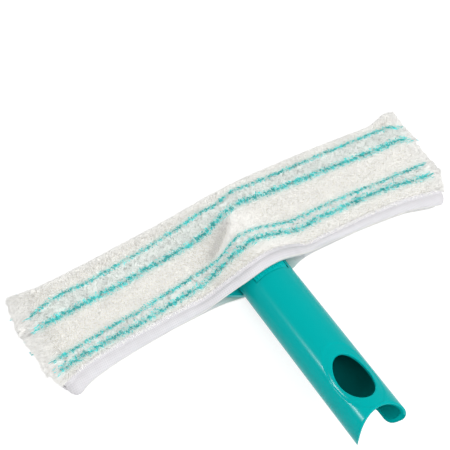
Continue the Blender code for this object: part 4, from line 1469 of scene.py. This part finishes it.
def seam_section(low, high, width):
    """Outline of a folded seam allowance: two plies, rounded over at the fold, from above."""
    bulge = 0.25
    parts = np.linspace(0.0, 1.0, 9)
    turns = np.linspace(0.0, math.pi, 9)[1:-1]
    out = [(bulge * math.sin(math.pi * p), low + (high - low) * p) for p in parts]
    out += [(-width / 2 + width / 2 * math.cos(turn), high) for turn in turns]
    for p in parts[::-1]:
        out.append((-width - bulge * math.sin(math.pi * p) + bulge, low + (high - low) * p))
    return np.array(out)


def seam_piece(name, path, inward, finish):
    """A folded allowance swept along the cover's edge, inside the pocket."""
    section = seam_section(5.5, 11.1, 3.4)
    rings = []
    for x, y in path:
        wave = 0.15 * float(ripple(x, y, 6.0, 61))
        rings.append([
            (x - inward[0] * (s - wave), y - inward[1] * (s - wave), z) for s, z in section
        ])
    piece = tape(name, np.array(rings), finish)
    enter(piece, "cover", name.replace("_allowance", ""))


def add_seams():
    cloth = woven("white_seam_cloth", (0.84, 0.84, 0.82), 0.9, 0.0006, 0.4, 0.1)
    xs = np.linspace(-132.8, 132.8, 90)
    ys = np.minimum(41.3 - 8.0 * (xs / HALF_LENGTH) ** 2 - 7.6, far_y(xs) - 4.2)
    seam_piece("far_seam_allowance", list(zip(xs, ys)), (0.0, -1.0), cloth)
    for label, sign in (("left", -1.0), ("right", 1.0)):
        path = [(sign * 137.3, y) for y in np.linspace(-28.2, 19.9, 24)]
        piece = f"end_seam_{label}_allowance"
        seam_piece(piece, path, (-sign, 0.0), cloth)


def tape_base(name, low, high, finish):
    """A strip of tape with rounded long edges, between two corners in millimetres."""
    deselect()
    middle = [(a + b) / 2 for a, b in zip(low, high)]
    bpy.ops.mesh.primitive_cube_add(size=1.0)
    strip = bpy.context.object
    strip.name = name
    strip.scale = [(b - a) * MM for a, b in zip(low, high)]
    strip.location = (middle[0] * MM, middle[1] * MM + CROSSING, middle[2] * MM)
    bpy.ops.object.transform_apply(location=True, rotation=True, scale=True)
    soften = strip.modifiers.new("rounded_edges", "BEVEL")
    soften.width = 0.00018
    soften.segments = 3
    bpy.ops.object.modifier_apply(modifier="rounded_edges")
    bpy.ops.object.shade_smooth_by_angle(angle=math.radians(35))
    strip.data.materials.append(finish)
    return strip


# Each gripping tape's body, way up, lower and upper level and pitch of its tufts
TAPES = {"hook": ("head", -1.0, 5.75, 6.5, 1.25), "loop": ("cover", 1.0, 3.8, 4.5, 0.95)}


def add_gripping_tapes(strand):
    """Hook tape under the bar and the loop tape in the cover that it holds on to."""
    bases = {
        "hook": woven("white_hook_tape", (0.78, 0.79, 0.81), 0.6, 0.0007, 0.5),
        "loop": woven("white_loop_tape", (0.84, 0.84, 0.86), 0.9, 0.0007, 0.5, 0.2),
    }
    hook_tones = (0.72, 0.73, 0.75), (0.86, 0.87, 0.88)
    loop_tones = (0.78, 0.78, 0.80), (0.88, 0.88, 0.90)
    yarns = {
        "hook": strand_material("hook_nylon", *hook_tones, 0.4, 0.05),
        "loop": strand_material("loop_nylon", *loop_tones, 0.8, 0.1),
    }
    for label, sign in (("left", -1.0), ("right", 1.0)):
        first, last = sorted((sign * 105.0, sign * 45.0))
        for kind, (body, up, low, high, pitch) in TAPES.items():
            corners = (first, -10.8, low), (last, -3.9, high)
            base = tape_base(f"{kind}_tape_{label}", *corners, bases[kind])
            enter(base, body, f"{kind}_strip_{label}")
            xs = np.arange(first + 0.8, last - 0.7, pitch)
            ys = np.arange(-10.2, -4.4, pitch)
            gx, gy = (grid.ravel() for grid in np.meshgrid(xs, ys, indexing="ij"))
            rng = np.random.RandomState(71)
            count = len(gx)
            gx = gx + rng.uniform(-0.12, 0.12, count)
            gy = gy + rng.uniform(-0.12, 0.12, count)
            level = high if up > 0 else low
            roots = np.stack([gx, gy, np.full(count, level - 0.05 * up)], axis=-1)
            normals = np.tile((0.0, 0.0, up), (count, 1))
            turned = rng.uniform(0, 2 * math.pi, count)
            leans = 0.8 * np.stack([np.cos(turned), np.sin(turned), 0 * turned], axis=-1)
            lengths = rng.uniform(0.5, 0.6, count)
            widths = rng.uniform(0.28, 0.36, count)
            shades = rng.uniform(0.9, 1.05, count)
            fields = (roots, normals, leans, lengths, widths, shades)
            tufts = plant(f"{kind}_tape_{label}_{kind}s", strand, yarns[kind], *fields)
            enter(tufts, body)


def dress_frame():
    """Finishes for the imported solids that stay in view."""
    bar = teal_plastic("teal_bar_plastic", (0.0, 0.41, 0.41), 0.35, 0.3, 0.12)
    finishes = {"head_bar": bar, "button_spring": spring_steel()}
    for name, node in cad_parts.items():
        if name in finishes:
            node.data.materials.clear()
            node.data.materials.append(finishes[name])


add_camera()
add_studio()
dress_frame()
STRAND = add_cover()
add_bindings()
add_seams()
add_gripping_tapes(STRAND)
TEAL = teal_plastic("teal_plastic", (0.0, 0.412, 0.407))
# The bore's teal is a darker copy of the handle's, as painted shade
add_handle(TEAL, bore_plastic_painted_shade((0.0, 0.28, 0.275), (0.0, 0.13, 0.125)))
# The button's teal is a lighter copy of the handle's, as painted light
add_button(teal_plastic("teal_button_plastic", (0.0, 0.47, 0.465)))
bpy.context.scene.view_settings.view_transform = "Standard"
